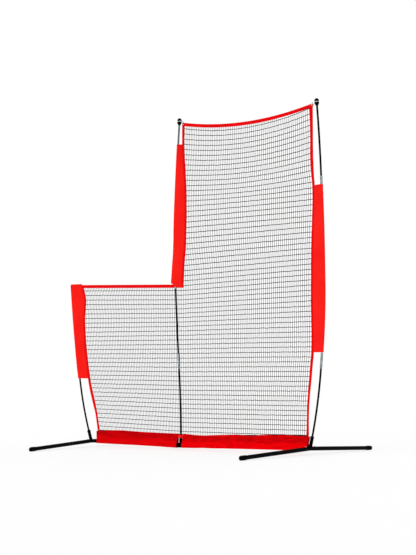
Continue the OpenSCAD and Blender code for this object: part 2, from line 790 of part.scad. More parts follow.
module border_middle() {
    start = [middle_outer(low_border_right), low_line(middle_outer(low_border_right)) + seam_gap];
    zs = [for (z = middle_edge) if (z > start[1]) z];
    tape(concat([start], [for (z = zs) under_tall(middle_outer(z), z)],
        [for (z = reversed(zs)) under_tall(middle_inner(z), z)],
        [[split_x, low_border_right + seam_gap]]));
}

module border_right() {
    tape(concat([for (z = right_edge) under_tall(right_inner(z), z)],
        [for (z = reversed(right_edge)) under_tall(right_outer(z), z)]));
}

// ---- Netting: one flat panel with a hole in every mesh ----

right_edge = concat(right_low, [for (i = [1 : sleeve_rings]) right_mid[i]],
    [for (i = [1 : 5]) right_high[i]]);
left_edge = concat(left_low, [for (i = [1 : sleeve_rings]) left_mid[i]]);
middle_edge = concat(middle_mid, [middle_high[1], middle_high[2]]);
middle_eyelet = [top_left_x + eyelet_in, top_line(top_left_x + eyelet_in) - border_w / 2];
right_eyelet = [top_right_x - eyelet_in, top_line(top_right_x - eyelet_in) - border_w / 2];
edge_room = 5;

function mix(a, b, t) = a + (b - a) * t;
function tall_left(z) = z < low_border_right ? split_x : middle_inner(z);
function tall_top(x) = top_line(x) - border_w;
function low_top(x) = low_line(x) - border_w;

// A knot of the mesh, u across and v up, both from 0 to 1
function tall_knot(u, v) =
    let (guess = mix(bottom_line(middle_x), border_top - top_sag, v),
        x = mix(tall_left(guess), right_inner(guess), u),
        z = mix(bottom_line(x) + edge_room, tall_top(x) - edge_room, v))
    [mix(tall_left(z) + edge_room, right_inner(z) - edge_room, u), z];
function low_knot(u, v) =
    let (guess = mix(bottom_line(middle_x), low_border_left - border_w, v),
        x = mix(left_inner(guess), split_x, u),
        z = mix(bottom_line(x) + edge_room, low_top(x) - edge_room, v))
    [mix(left_inner(z) + edge_room, split_x - edge_room, u), z];

// A mesh's opening: its four knots drawn in by half a strand
function opening(a, b, c, d) =
    [a + [strand, strand] / 2, b + [-strand, strand] / 2,
        c - [strand, strand] / 2, d + [strand, -strand] / 2];

module panel(outline, cells) {
    n = len(outline);
    color(net_black) placed() upright(net_y + strand / 2) linear_extrude(strand) polygon(
        concat(outline, [for (cell = cells) each cell]),
        concat([[for (i = [0 : n - 1]) i]],
            [for (k = [0 : len(cells) - 1]) [for (i = [0 : 3]) n + 4 * k + i]]));
}

module net_tall() {
    xs = levels(middle_inner(border_top - border_w), right_inner(right_high[5]), top_steps);
    panel(concat(
        [[split_x, bottom_line(split_x)]],
        [for (z = right_edge) under_tall(right_inner(z), z)],
        [for (i = [top_steps - 1 : -1 : 1]) under_tall(xs[i], border_top)],
        [for (z = reversed(middle_edge)) under_tall(middle_inner(z), z)]),
        [for (i = [0 : tall_columns - 1], j = [0 : tall_rows - 1])
            let (u = i / tall_columns, v = j / tall_rows, du = 1 / tall_columns,
                dv = 1 / tall_rows)
            opening(tall_knot(u, v), tall_knot(u + du, v), tall_knot(u + du, v + dv),
                tall_knot(u, v + dv))]);
}

module net_low() {
    panel(concat(
        [for (z = reversed(left_edge)) under_low(left_inner(z), z)],
        [[middle_x, bottom_line(middle_x)], [split_x, bottom_line(split_x)],
            under_low(split_x, low_border_right)]),
        [for (i = [0 : low_columns - 1], j = [0 : low_rows - 1])
            let (u = i / low_columns, v = j / low_rows, du = 1 / low_columns,
                dv = 1 / low_rows)
            opening(low_knot(u, v), low_knot(u + du, v), low_knot(u + du, v + dv),
                low_knot(u, v + dv))]);
}

// ---- Named pieces ----

module hub_left() {
    hub(-1);
}

module hub_right() {
    hub(1);
}

module arm_front_left() {
    foot_arm(-1, 1);
}

module arm_rear_left() {
    foot_arm(-1, -1);
}

module arm_front_right() {
    foot_arm(1, 1);
}

module arm_rear_right() {
    foot_arm(1, -1);
}

module cap_front_left() {
    foot_cap(-1, 1);
}

module cap_rear_left() {
    foot_cap(-1, -1);
}

module cap_front_right() {
    foot_cap(1, 1);
}

module cap_rear_right() {
    foot_cap(1, -1);
}

module crossbar_left() {
    crossbar(-1);
}

module crossbar_right() {
    crossbar(1);
}

module pole_left_base() {
    pole_section(left_pole, 0);
}

module pole_left_tip() {
    pole_section(left_pole, 1);
}

module pole_middle_base() {
    pole_section(middle_pole, 0);
}

module pole_middle_second() {
    pole_section(middle_pole, 1);
}

module pole_middle_third() {
    pole_section(middle_pole, 2);
}

module pole_middle_tip() {
    pole_section(middle_pole, 3);
}

module pole_right_base() {
    pole_section(right_pole, 0);
}

module pole_right_second() {
    pole_section(right_pole, 1);
}

module pole_right_third() {
    pole_section(right_pole, 2);
}

module pole_right_tip() {
    pole_section(right_pole, 3);
}

module knob_middle() {
    knob(middle_pole);
}

module knob_right() {
    knob(right_pole);
}

module corner_loop_middle() {
    corner_loop(middle_pole, 1, middle_eyelet);
}

module corner_loop_right() {
    corner_loop(right_pole, -1, right_eyelet);
}

module button_front_left() {
    on_arm(-1, 1) small_button();
}

module button_rear_left() {
    on_arm(-1, -1) small_button();
}

module button_front_right() {
    on_arm(1, 1) small_button();
}

module button_rear_right() {
    on_arm(1, -1) small_button();
}

module button_stub_left() {
    on_stub(-1) small_button();
}

module button_stub_right() {
    on_stub(1) small_button();
}

module button_tee_left() {
    on_tee(-1) tee_side_button();
}

module button_tee_right() {
    on_tee(1) tee_side_button();
}

module spring_front_left() {
    on_arm(-1, 1) small_spring();
}

module spring_rear_left() {
    on_arm(-1, -1) small_spring();
}

module spring_front_right() {
    on_arm(1, 1) small_spring();
}

module spring_rear_right() {
    on_arm(1, -1) small_spring();
}

module spring_stub_left() {
    on_stub(-1) small_spring();
}

module spring_stub_right() {
    on_stub(1) small_spring();
}

module spring_tee_left() {
    on_tee(-1) tee_side_spring();
}

module spring_tee_right() {
    on_tee(1) tee_side_spring();
}

hub_left();
hub_right();
arm_front_left();
arm_rear_left();
arm_front_right();
arm_rear_right();
cap_front_left();
cap_rear_left();
cap_front_right();
cap_rear_right();
crossbar_left();
crossbar_right();
middle_tee();
socket_collars();
pole_left_base();
pole_left_tip();
pole_middle_base();
pole_middle_second();
pole_middle_third();
pole_middle_tip();
pole_right_base();
pole_right_second();
pole_right_third();
pole_right_tip();
ferrules();
tip_cap_left();
knob_middle();
knob_right();
corner_loop_middle();
corner_loop_right();
button_front_left();
button_rear_left();
button_front_right();
button_rear_right();
button_stub_left();
button_stub_right();
button_tee_left();
button_tee_right();
spring_front_left();
spring_rear_left();
spring_front_right();
spring_rear_right();
spring_stub_left();
spring_stub_right();
spring_tee_left();
spring_tee_right();
sleeve_left();
sleeve_middle();
sleeve_right();
band_left();
band_right();
border_top_tall();
border_top_low();
border_left();
border_middle();
border_right();
middle_strap();
net_tall();
net_low();
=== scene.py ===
# %% [markdown]
# # A portable pitching screen
# This script dresses a finished CAD model: a jointed steel base, three bent fibreglass poles and
# an L-shaped net with red cloth edges. The CAD pieces are loaded first and are never moved. Hard
# parts keep their CAD shape and get a finish. Cloth, tape, cord and netting are soft, so they are
# modelled here as real sheets and strands that take the place of the plain CAD solids.

# %% Load the CAD frame
import json
from math import asin, atan2, cos, hypot, pi, radians, sin, sqrt, tan

import bmesh
import bpy
import numpy as np
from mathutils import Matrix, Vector, noise


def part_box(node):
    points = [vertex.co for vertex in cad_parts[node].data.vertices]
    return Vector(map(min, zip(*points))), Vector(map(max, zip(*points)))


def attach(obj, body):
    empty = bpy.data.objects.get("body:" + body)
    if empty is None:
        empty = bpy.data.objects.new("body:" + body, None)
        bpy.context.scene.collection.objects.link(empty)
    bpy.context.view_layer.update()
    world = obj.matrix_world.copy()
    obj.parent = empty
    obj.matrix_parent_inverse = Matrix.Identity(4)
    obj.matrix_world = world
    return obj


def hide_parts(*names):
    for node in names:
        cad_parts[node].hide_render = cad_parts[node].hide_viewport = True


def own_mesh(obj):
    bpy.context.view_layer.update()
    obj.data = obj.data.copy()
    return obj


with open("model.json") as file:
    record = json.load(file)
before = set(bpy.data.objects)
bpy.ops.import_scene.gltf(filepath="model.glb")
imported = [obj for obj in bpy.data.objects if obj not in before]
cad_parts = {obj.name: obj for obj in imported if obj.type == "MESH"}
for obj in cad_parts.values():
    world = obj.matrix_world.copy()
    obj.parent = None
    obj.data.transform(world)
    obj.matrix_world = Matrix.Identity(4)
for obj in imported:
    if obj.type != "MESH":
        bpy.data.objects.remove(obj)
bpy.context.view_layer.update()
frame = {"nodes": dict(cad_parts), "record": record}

nodes = frame["nodes"]

# %% [markdown]
# ## Sizes
# Everything soft follows the poles and the crossbar, so the script needs their curves. They come
# from the same few sizes as the CAD model: where each pole stands, how far it leans at every
# ferrule, and how long its sections are. Sizes are in millimetres and x is measured from midway
# between the two foot hubs. A sleeve or a band is given by the two ends it reaches from and to,
# and a pole's leans are in degrees, from its foot up. One function, `at`, turns such a place into
# Blender's metres.

# %% Sizes in millimetres
MM = 0.001
hub_spacing = 1684
middle_from_right = 946
hub_z = 38
crossbar_sag = 9
tube_d = 25
tee_d = 29
tee_half = 55
pole_foot = 15.5
socket_top = 74
section_len = 522
tip_section_len = 489
ferrule_half = 52
pole_d = 12
knob_bore = 14
knob_h = 45
knob_d = 30
groove_d = 19
groove_h = 7
net_y = 12.5
border_w = 21
border_t = 3
net_bottom = 112
net_bottom_sag = 9
border_top = 2101
top_rise = 7
top_sag = 52
low_border_left = 1093
low_border_right = 1061
left_sleeve = (459, 1100)
middle_sleeve = (1064, 1960)
right_sleeve = (614, 1615)
left_band = (-791, -131)
right_band = (-86, 816)
left_leans = [-17, -6.5, -4.5]
middle_leans = [0, -3.6, -2.2, 2.8, 4]
right_leans = [11.8, 4.5, -1, -2.6, -5]

half_hub = hub_spacing / 2
middle_x = half_hub - middle_from_right
middle_z = hub_z - crossbar_sag
cap_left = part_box("cap_front_left")[0][0]
cap_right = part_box("cap_front_right")[1][0]
hub_mid = (cap_left + cap_right) / 2


def at(x, y, z):
    """A place in millimetres from midway between the hubs, as a point in Blender's metres."""
    return Vector((x * MM + hub_mid, y * MM, z * MM))


print("midway between the hubs lies at x = %.4f m" % hub_mid)


# %% [markdown]
# ## Camera
# The camera stands to the right of the screen, low and level, with a long lens, the way a product
# is shot from across a studio. It could be tilted up to take in the tall panel, but then upright
# poles would lean towards each other, so the lens is shifted up instead.

# %% Camera
def studio_camera(place, yaw, focal, rise):
    bpy.ops.object.select_all(action="DESELECT")
    bpy.ops.object.camera_add(location=place, rotation=(pi / 2, 0, radians(yaw)))
    camera = bpy.context.object
    camera.name = "studio_camera"
    camera.data.sensor_fit = "HORIZONTAL"
    camera.data.sensor_width = 36
    camera.data.lens = focal
    camera.data.shift_y = rise
    camera.data.clip_end = 100
    bpy.context.scene.camera = camera
    return camera


camera = studio_camera(place=at(4469, -6518, 452), yaw=33.8, focal=107.4, rise=0.245)
print("camera at", [round(c, 3) for c in camera.location])

# %% [markdown]
# ## Curves of the poles
# Each pole is a row of straight fibreglass rods in stiff ferrules, bent by the net's pull.
# Between two ferrules a rod bends evenly, so its line is an arc, and inside a ferrule it stays
# straight. The CAD model already holds the poles themselves. The same line is worked out again
# here, because the sleeves and the net's edges have to lie beside it.

# %% Lines of the three poles
def chord(length, turn):
    """The straight line across an arc of this length that turns by so many degrees."""
    return length if abs(turn) < 0.01 else 2 * length / radians(turn) * sin(radians(turn) / 2)


def pole_axis(foot_x, foot_z, leans, sections):
    """Points (height, x) up a pole that leans by these degrees at its foot and at every joint."""
    arc_steps = 12

    def step(p, length, lean):
        return (p[0] + length * cos(radians(lean)), p[1] + length * sin(radians(lean)))

    points = [(foot_z, foot_x)]
    here = step(points[0], pole_foot, leans[0])
    for k, section in enumerate(sections):
        low = socket_top - pole_foot if k == 0 else ferrule_half
        high = knob_bore + 1 if k == len(sections) - 1 else ferrule_half
        bow, turn = section - low - high, leans[k + 1] - leans[k]
        start = step(here, low, leans[k])
        for i in range(arc_steps + 1):
            t = i / arc_steps
            points.append(step(start, chord(t * bow, t * turn), leans[k] + t * turn / 2))
        here = step(points[-1], high, leans[k + 1])
    points.append(here)
    points.append(step(here, knob_h, leans[-1]))
    return np.array(points), here


left_axis, left_tip = pole_axis(-half_hub, hub_z, left_leans, [section_len] * 2)
middle_axis, middle_tip = pole_axis(
    middle_x, middle_z, middle_leans, [section_len] * 3 + [tip_section_len])
right_axis, right_tip = pole_axis(
    half_hub, hub_z, right_leans, [section_len] * 3 + [tip_section_len])


def axis_x(axis, z):
    return float(np.interp(z, axis[:, 0], axis[:, 1]))


print("pole tips (height, x):", *("(%.0f, %.0f)" % t for t in (left_tip, middle_tip, right_tip)))

# %% [markdown]
# ## Edges of the net
# The net's edges wander a little, because cloth and cord are only held here and there. An edge
# could be a curve object drawn by hand, but everything sewn to it would then have to be fitted to
# that curve. Instead it is given by a few listed distances from its pole, and `flow` draws a
# smooth curve through them, so tape, sleeve and net can all ask for the same edge.

# %% Smooth curves through a few chosen points
def flow(x, table):
    """A smooth value at x through a few (position, value) pairs, flat beyond both ends."""
    xs, ys = [p[0] for p in table], [p[1] for p in table]
    if x <= xs[0]:
        return ys[0]
    if x >= xs[-1]:
        return ys[-1]
    k = max(i for i in range(len(xs) - 1) if xs[i] <= x)
    width = xs[k + 1] - xs[k]

    def slope(i):
        a, b = max(i - 1, 0), min(i + 1, len(xs) - 1)
        return (ys[b] - ys[a]) / (xs[b] - xs[a])

    t = (x - xs[k]) / width
    return (ys[k] * (2 * t**3 - 3 * t**2 + 1) + ys[k + 1] * (3 * t**2 - 2 * t**3)
            + slope(k) * width * (t**3 - 2 * t**2 + t) + slope(k + 1) * width * (t**3 - t**2))


def smooth(t):
    """0 below 0, 1 above 1, and an even ease between them."""
    t = min(1.0, max(0.0, t))
    return t * t * (3 - 2 * t)


def mix(a, b, t):
    return a + (b - a) * t


print("half way up an even ease:", smooth(0.5))

# %% The edges themselves
# Each pair starts with a height. In a hang table the distance from the pole to the net's edge
# follows it, in a tape table the tape's width, and in a slack table how far the sleeve stands off
# the far side of its pole.
right_hang = [(net_bottom, 31), (215, 51), (332, 64), (504, 65), (right_sleeve[0], 63), (860, 77),
              (960, 80), (1100, 78), (1260, 73), (1460, 60), (1560, 54), (right_sleeve[1], 53),
              (1710, 56), (1850, 52), (2060, 38), (border_top, 34)]
right_tape = [(net_bottom, 17), (215, 13), (332, 14), (504, 17), (right_sleeve[0], 17),
              (right_sleeve[1], 16), (1780, 20), (1920, 18), (2060, 23), (border_top, 24)]
left_hang = [(net_bottom, 68), (140, 72), (215, 79), (290, 74), (365, 66), (left_sleeve[0], 60),
             (560, 58), (699, 56), (868, 63), (990, 83), (1072, 69), (left_sleeve[1], 66)]
left_tape = [(net_bottom, 18), (215, 16), (290, 21), (365, 22), (left_sleeve[0], 20), (560, 17)]
middle_hang = [(low_border_right, 38), (1164, 46), (1313, 62), (1463, 65), (1537, 63), (1686, 53),
               (1761, 45), (1910, 27), (middle_sleeve[1], 22), (border_top, 13)]
middle_tape = [(low_border_right, 16), (1164, 17), (1910, 17), (border_top, 19)]
left_slack = [(left_sleeve[0], 4), (555, 7), (left_sleeve[1], 8)]
middle_slack = [(middle_sleeve[0], 27), (1176, 14.5), (1262, 4.5), (1348, 0.5)]


def right_outer(z): return axis_x(right_axis, z) - flow(z, right_hang)
def right_inner(z): return right_outer(z) - flow(z, right_tape)
def left_outer(z): return axis_x(left_axis, z) + flow(z, left_hang)
def left_inner(z): return left_outer(z) + flow(z, left_tape)
def middle_outer(z): return axis_x(middle_axis, z) + flow(z, middle_hang)
def middle_inner(z): return middle_outer(z) + flow(z, middle_tape)


top_left_x = middle_outer(border_top)
top_right_x = right_outer(border_top)
low_left_x = left_outer(low_border_left)
split_x = middle_inner(low_border_right)


def top_line(x):
    """Height of the tall panel's top edge, which sags between the two poles."""
    u = (x - top_left_x) / (top_right_x - top_left_x)
    return border_top + top_rise * u - 4 * top_sag * u * (1 - u)


def low_line(x):
    """Height of the low panel's top edge."""
    return mix(low_border_left, low_border_right, (x - low_left_x) / (split_x - low_left_x))


def hub_share(x):
    """0 at either hub and 1 at the middle tee."""
    return (x + half_hub) / (middle_x + half_hub) if x < middle_x else \
        (half_hub - x) / middle_from_right


def bottom_line(x): return net_bottom - net_bottom_sag * hub_share(x)
def bar_z(x): return hub_z - crossbar_sag * hub_share(x)


print("top edge from x %.0f to %.0f mm" % (top_left_x, top_right_x))

# %% [markdown]
# ## Helpers for modelling
# Operators act on whatever is selected, so every step starts by deselecting all. A sheet of cloth
# starts as a flat grid, the way a cut piece of cloth is flat, and each of its points is then
# moved to where the cloth lies. Its UV map keeps the flat size in metres, so that a weave has the
# same scale everywhere.

# %% Selecting, finishing and measuring
def select_only(obj):
    """Makes one object the only selected one, and the active one."""
    bpy.ops.object.select_all(action="DESELECT")
    obj.select_set(True)
    bpy.context.view_layer.objects.active = obj


def apply_modifiers(obj):
    select_only(obj)
    for modifier in list(obj.modifiers):
        bpy.ops.object.modifier_apply(modifier=modifier.name)


def triangles(obj):
    return sum(len(p.vertices) - 2 for p in obj.data.polygons)


def place_in_mesh(obj):
    """Puts an object's place into its mesh, so that the object itself sits at the origin."""
    select_only(obj)
    bpy.ops.object.transform_apply(location=True, rotation=True, scale=True)


print("selecting helpers ready")


# %% A sheet of cloth from a flat grid
def cloth_sheet(name, across, along, point, thickness):
    """A sheet of across by along cells. point(u, v) gives a place in mm, u and v from 0 to 1."""
    bpy.ops.object.select_all(action="DESELECT")
    bpy.ops.mesh.primitive_grid_add(x_subdivisions=across, y_subdivisions=along, size=2)
    sheet = bpy.context.object
    sheet.name = sheet.data.name = name
    flat = {}
    for vertex in sheet.data.vertices:
        u, v = (vertex.co.x + 1) / 2, (vertex.co.y + 1) / 2
        flat[vertex.index] = (round(u * across), round(v * along))
        vertex.co = at(*point(u, v))
    places = {flat[v.index]: v.co for v in sheet.data.vertices}
    width = {j: np.cumsum([0] + [(places[i + 1, j] - places[i, j]).length for i in range(across)])
             for j in range(along + 1)}
    half = across // 2
    length = np.cumsum(
        [0] + [(places[half, j + 1] - places[half, j]).length for j in range(along)])
    uv = sheet.data.uv_layers.active.data
    for loop in sheet.data.loops:
        i, j = flat[loop.vertex_index]
        uv[loop.index].uv = (width[j][i] - width[j][-1] / 2, length[j])
    size = (float(np.mean([w[-1] for w in width.values()])), float(length[-1]))
    select_only(sheet)
    wall = sheet.modifiers.new("cloth thickness", "SOLIDIFY")
    wall.thickness = thickness * MM
    wall.offset = 0
    apply_modifiers(sheet)
    select_only(sheet)
    bpy.ops.object.shade_smooth_by_angle(angle=radians(50))
    return sheet, size


print("modelling helpers ready")

# %% [markdown]
# ## Materials
# Every finish is a small tree of nodes. Colours are written as the hex values one would pick on a
# screen and turned to linear light by one function. `add` puts a node into a tree, sets it and
# links it, and `wire` does the same for the sockets of a shader that is already there. A noise's
# scale counts its lumps per metre, so it is written as one over the size of a real mark.

# %% Colour and node helpers
def linear(hex_colour):
    """A screen colour such as '#f0211c' as linear light, with alpha."""
    parts = [int(hex_colour[i:i + 2], 16) / 255 for i in (1, 3, 5)]
    return tuple(c / 12.92 if c <= 0.04045 else ((c + 0.055) / 1.055) ** 2.4 for c in parts) + (1,)


def wire(tree, node, inputs):
    """Sets a node's sockets. inputs maps a socket's name or number to a value, to another node's
    output, or to a node, which stands for its first output."""
    for socket, value in inputs.items():
        if isinstance(value, bpy.types.Node):
            value = value.outputs[0]
        if isinstance(value, bpy.types.NodeSocket):
            tree.links.new(value, node.inputs[socket])
        else:
            node.inputs[socket].default_value = value


def add(tree, kind, inputs=None, **settings):
    """Adds a node with its settings, and wires its inputs."""
    made = tree.nodes.new(kind)
    for key, value in settings.items():
        setattr(made, key, value)
    wire(tree, made, inputs or {})
    return made


def start_material(name, roughness, specular=0.5, metallic=0.0):
    """A new material, with its node tree and its Principled shader."""
    material = bpy.data.materials.new(name)
    material.use_nodes = True
    tree = material.node_tree
    shader = tree.nodes["Principled BSDF"]
    wire(tree, shader, {"Roughness": roughness, "Specular IOR Level": specular,
                        "Metallic": metallic})
    return material, tree, shader


print("material helpers ready")

# %% [markdown]
# ## Hard finishes
# No real finish is one flat colour. Powder coat has an orange peel, rubber a dusty bloom,
# fibreglass streaks along its fibres and metal a faint cloudiness. Each is a noise, spread over
# two close colours, and most of them tilt the surface a few hundredths of a millimetre as well.
# The size of each noise is the size of the real mark.

# %% Coats and mouldings
def powder_coat():
    """Mild steel tube, powder coated satin black: a faint orange peel and a soft highlight."""
    material, tree, shader = start_material("powder_coated_steel", 0.45, specular=0.02)
    where = add(tree, "ShaderNodeTexCoord").outputs["Object"]
    peel = add(tree, "ShaderNodeTexNoise", {
        "Vector": where, "Scale": 1 / (2.5 * MM), "Detail": 2, "Roughness": 0.55})
    clouds = add(tree, "ShaderNodeTexNoise", {
        "Vector": where, "Scale": 1 / (60 * MM), "Detail": 3, "Roughness": 0.55})
    patches = add(tree, "ShaderNodeMapRange", {"Value": clouds, "From Min": 0.35, "From Max": 0.65})
    tone = add(tree, "ShaderNodeMix", {0: patches, 6: linear("#000000"), 7: linear("#030304")},
               data_type="RGBA")
    gloss = add(tree, "ShaderNodeMapRange", {"Value": patches, "To Min": 0.38, "To Max": 0.5})
    relief = add(tree, "ShaderNodeBump", {"Height": peel, "Distance": 0.08 * MM, "Strength": 0.6})
    wire(tree, shader, {"Base Color": tone.outputs[2], "Roughness": gloss, "Normal": relief})
    return material


def moulded_rubber():
    """Black rubber from a blasted mould: matt, with a dusty bloom on its worn places."""
    material, tree, shader = start_material("moulded_rubber", 0.72, specular=0.03)
    where = add(tree, "ShaderNodeTexCoord").outputs["Object"]
    dust = add(tree, "ShaderNodeTexNoise", {
        "Vector": where, "Scale": 1 / (14 * MM), "Detail": 5, "Roughness": 0.55})
    bloom = add(tree, "ShaderNodeMapRange", {"Value": dust, "From Min": 0.45, "From Max": 0.75})
    tone = add(tree, "ShaderNodeMix", {0: bloom, 6: linear("#020202"), 7: linear("#0c0c0b")},
               data_type="RGBA")
    grain = add(tree, "ShaderNodeTexNoise", {
        "Vector": where, "Scale": 1 / (0.8 * MM), "Detail": 3, "Roughness": 0.55})
    relief = add(tree, "ShaderNodeBump", {"Height": grain, "Distance": 0.1 * MM, "Strength": 0.7})
    wire(tree, shader, {"Base Color": tone.outputs[2], "Normal": relief})
    return material


def moulded_plastic(name, low, high, roughness):
    """Injection-moulded nylon: satin, with the fine grain of a spark-eroded mould."""
    material, tree, shader = start_material(name, roughness, specular=0.03)
    where = add(tree, "ShaderNodeTexCoord").outputs["Object"]
    grain = add(tree, "ShaderNodeTexNoise", {
        "Vector": where, "Scale": 1 / (0.7 * MM), "Detail": 3, "Roughness": 0.55})
    clouds = add(tree, "ShaderNodeTexNoise", {
        "Vector": where, "Scale": 1 / (20 * MM), "Detail": 3, "Roughness": 0.55})
    shade = add(tree, "ShaderNodeMapRange", {"Value": clouds, "From Min": 0.3, "From Max": 0.7})
    tone = add(tree, "ShaderNodeMix", {0: shade, 6: linear(low), 7: linear(high)},
               data_type="RGBA")
    gloss = add(tree, "ShaderNodeMapRange", {
        "Value": grain, "From Min": 0.3, "From Max": 0.7,
        "To Min": roughness - 0.06, "To Max": roughness + 0.08})
    relief = add(tree, "ShaderNodeBump", {"Height": grain, "Distance": 0.05 * MM, "Strength": 0.6})
    wire(tree, shader, {"Base Color": tone.outputs[2], "Roughness": gloss, "Normal": relief})
    return material


steel_coat = powder_coat()
rubber = moulded_rubber()
collar_nylon = moulded_plastic("moulded_nylon_collar", "#030304", "#0a0a0b", 0.5)
knob_nylon = moulded_plastic("moulded_nylon_knob", "#010101", "#070708", 0.42)
eyelet_nylon = moulded_plastic("moulded_nylon_eyelet", "#b80004", "#d20008", 0.4)
print("coats and mouldings ready")


# %% Rods and metals
def pultruded_rod(name, low, high):
    """Fibreglass rod: tinted resin over long fibres, which leave fine streaks along the rod."""
    material, tree, shader = start_material(name, 0.36, specular=0.02)
    where = add(tree, "ShaderNodeTexCoord").outputs["Object"]
    drawn_out = add(tree, "ShaderNodeMapping", {"Vector": where, "Scale": (1, 1, 0.03)})
    fibres = add(tree, "ShaderNodeTexNoise", {
        "Vector": drawn_out, "Scale": 1 / (1.2 * MM), "Detail": 4, "Roughness": 0.55})
    streak = add(tree, "ShaderNodeMapRange", {"Value": fibres, "From Min": 0.35, "From Max": 0.7})
    tone = add(tree, "ShaderNodeMix", {0: streak, 6: linear(low), 7: linear(high)},
               data_type="RGBA")
    gloss = add(tree, "ShaderNodeMapRange", {
        "Value": fibres, "From Min": 0.3, "From Max": 0.7, "To Min": 0.3, "To Max": 0.46})
    relief = add(tree, "ShaderNodeBump", {"Height": fibres, "Distance": 0.05 * MM, "Strength": 0.5})
    wire(tree, shader, {"Base Color": tone.outputs[2], "Roughness": gloss, "Normal": relief})
    return material


def drawn_metal():
    """Drawn aluminium tube: pale and cool, with fine scratches along it."""
    material, tree, shader = start_material("drawn_aluminium", 0.32, metallic=1.0)
    where = add(tree, "ShaderNodeTexCoord").outputs["Object"]
    drawn_out = add(tree, "ShaderNodeMapping", {"Vector": where, "Scale": (1, 1, 0.08)})
    scratches = add(tree, "ShaderNodeTexNoise", {
        "Vector": drawn_out, "Scale": 1 / (1.6 * MM), "Detail": 5, "Roughness": 0.55})
    clouds = add(tree, "ShaderNodeTexNoise", {
        "Vector": where, "Scale": 1 / (16 * MM), "Detail": 4, "Roughness": 0.55})
    patches = add(tree, "ShaderNodeMapRange", {"Value": clouds, "From Min": 0.3, "From Max": 0.72})
    tone = add(tree, "ShaderNodeMix", {0: patches, 6: linear("#4c565b"), 7: linear("#cbd5da")},
               data_type="RGBA")
    gloss = add(tree, "ShaderNodeMapRange", {
        "Value": scratches, "From Min": 0.3, "From Max": 0.7, "To Min": 0.24, "To Max": 0.44})
    relief = add(tree, "ShaderNodeBump", {
        "Height": scratches, "Distance": 0.03 * MM, "Strength": 0.5})
    wire(tree, shader, {"Base Color": tone.outputs[2], "Roughness": gloss, "Normal": relief})
    return material


def plated_steel(name, low, high, roughness):
    """Zinc-plated steel: bright, with a faint cloudiness from the plating bath."""
    material, tree, shader = start_material(name, roughness, metallic=1.0)
    where = add(tree, "ShaderNodeTexCoord").outputs["Object"]
    clouds = add(tree, "ShaderNodeTexNoise", {
        "Vector": where, "Scale": 1 / (4 * MM), "Detail": 4, "Roughness": 0.55})
    patches = add(tree, "ShaderNodeMapRange", {"Value": clouds, "From Min": 0.3, "From Max": 0.7})
    tone = add(tree, "ShaderNodeMix", {0: patches, 6: linear(low), 7: linear(high)},
               data_type="RGBA")
    gloss = add(tree, "ShaderNodeMapRange", {
        "Value": patches, "To Min": roughness, "To Max": roughness + 0.15})
    wire(tree, shader, {"Base Color": tone.outputs[2], "Roughness": gloss})
    return material


fibreglass = pultruded_rod("black_pultruded_fibreglass", "#000000", "#040405")
# Painted highlight: the middle pole's tip section is made mid grey, standing in for the highlight
# that its glossy black rod catches.
grey_fibreglass_painted_highlight = pultruded_rod("pultruded_fibreglass_painted_highlight", "#4c5054", "#85888a")
ferrule_metal = drawn_metal()
button_zinc = plated_steel("zinc_plated_button", "#a9adb0", "#e2e5e7", 0.2)
spring_metal = plated_steel("spring_strip_steel", "#7f8488", "#b7bbbf", 0.3)
print("rods and metals ready")
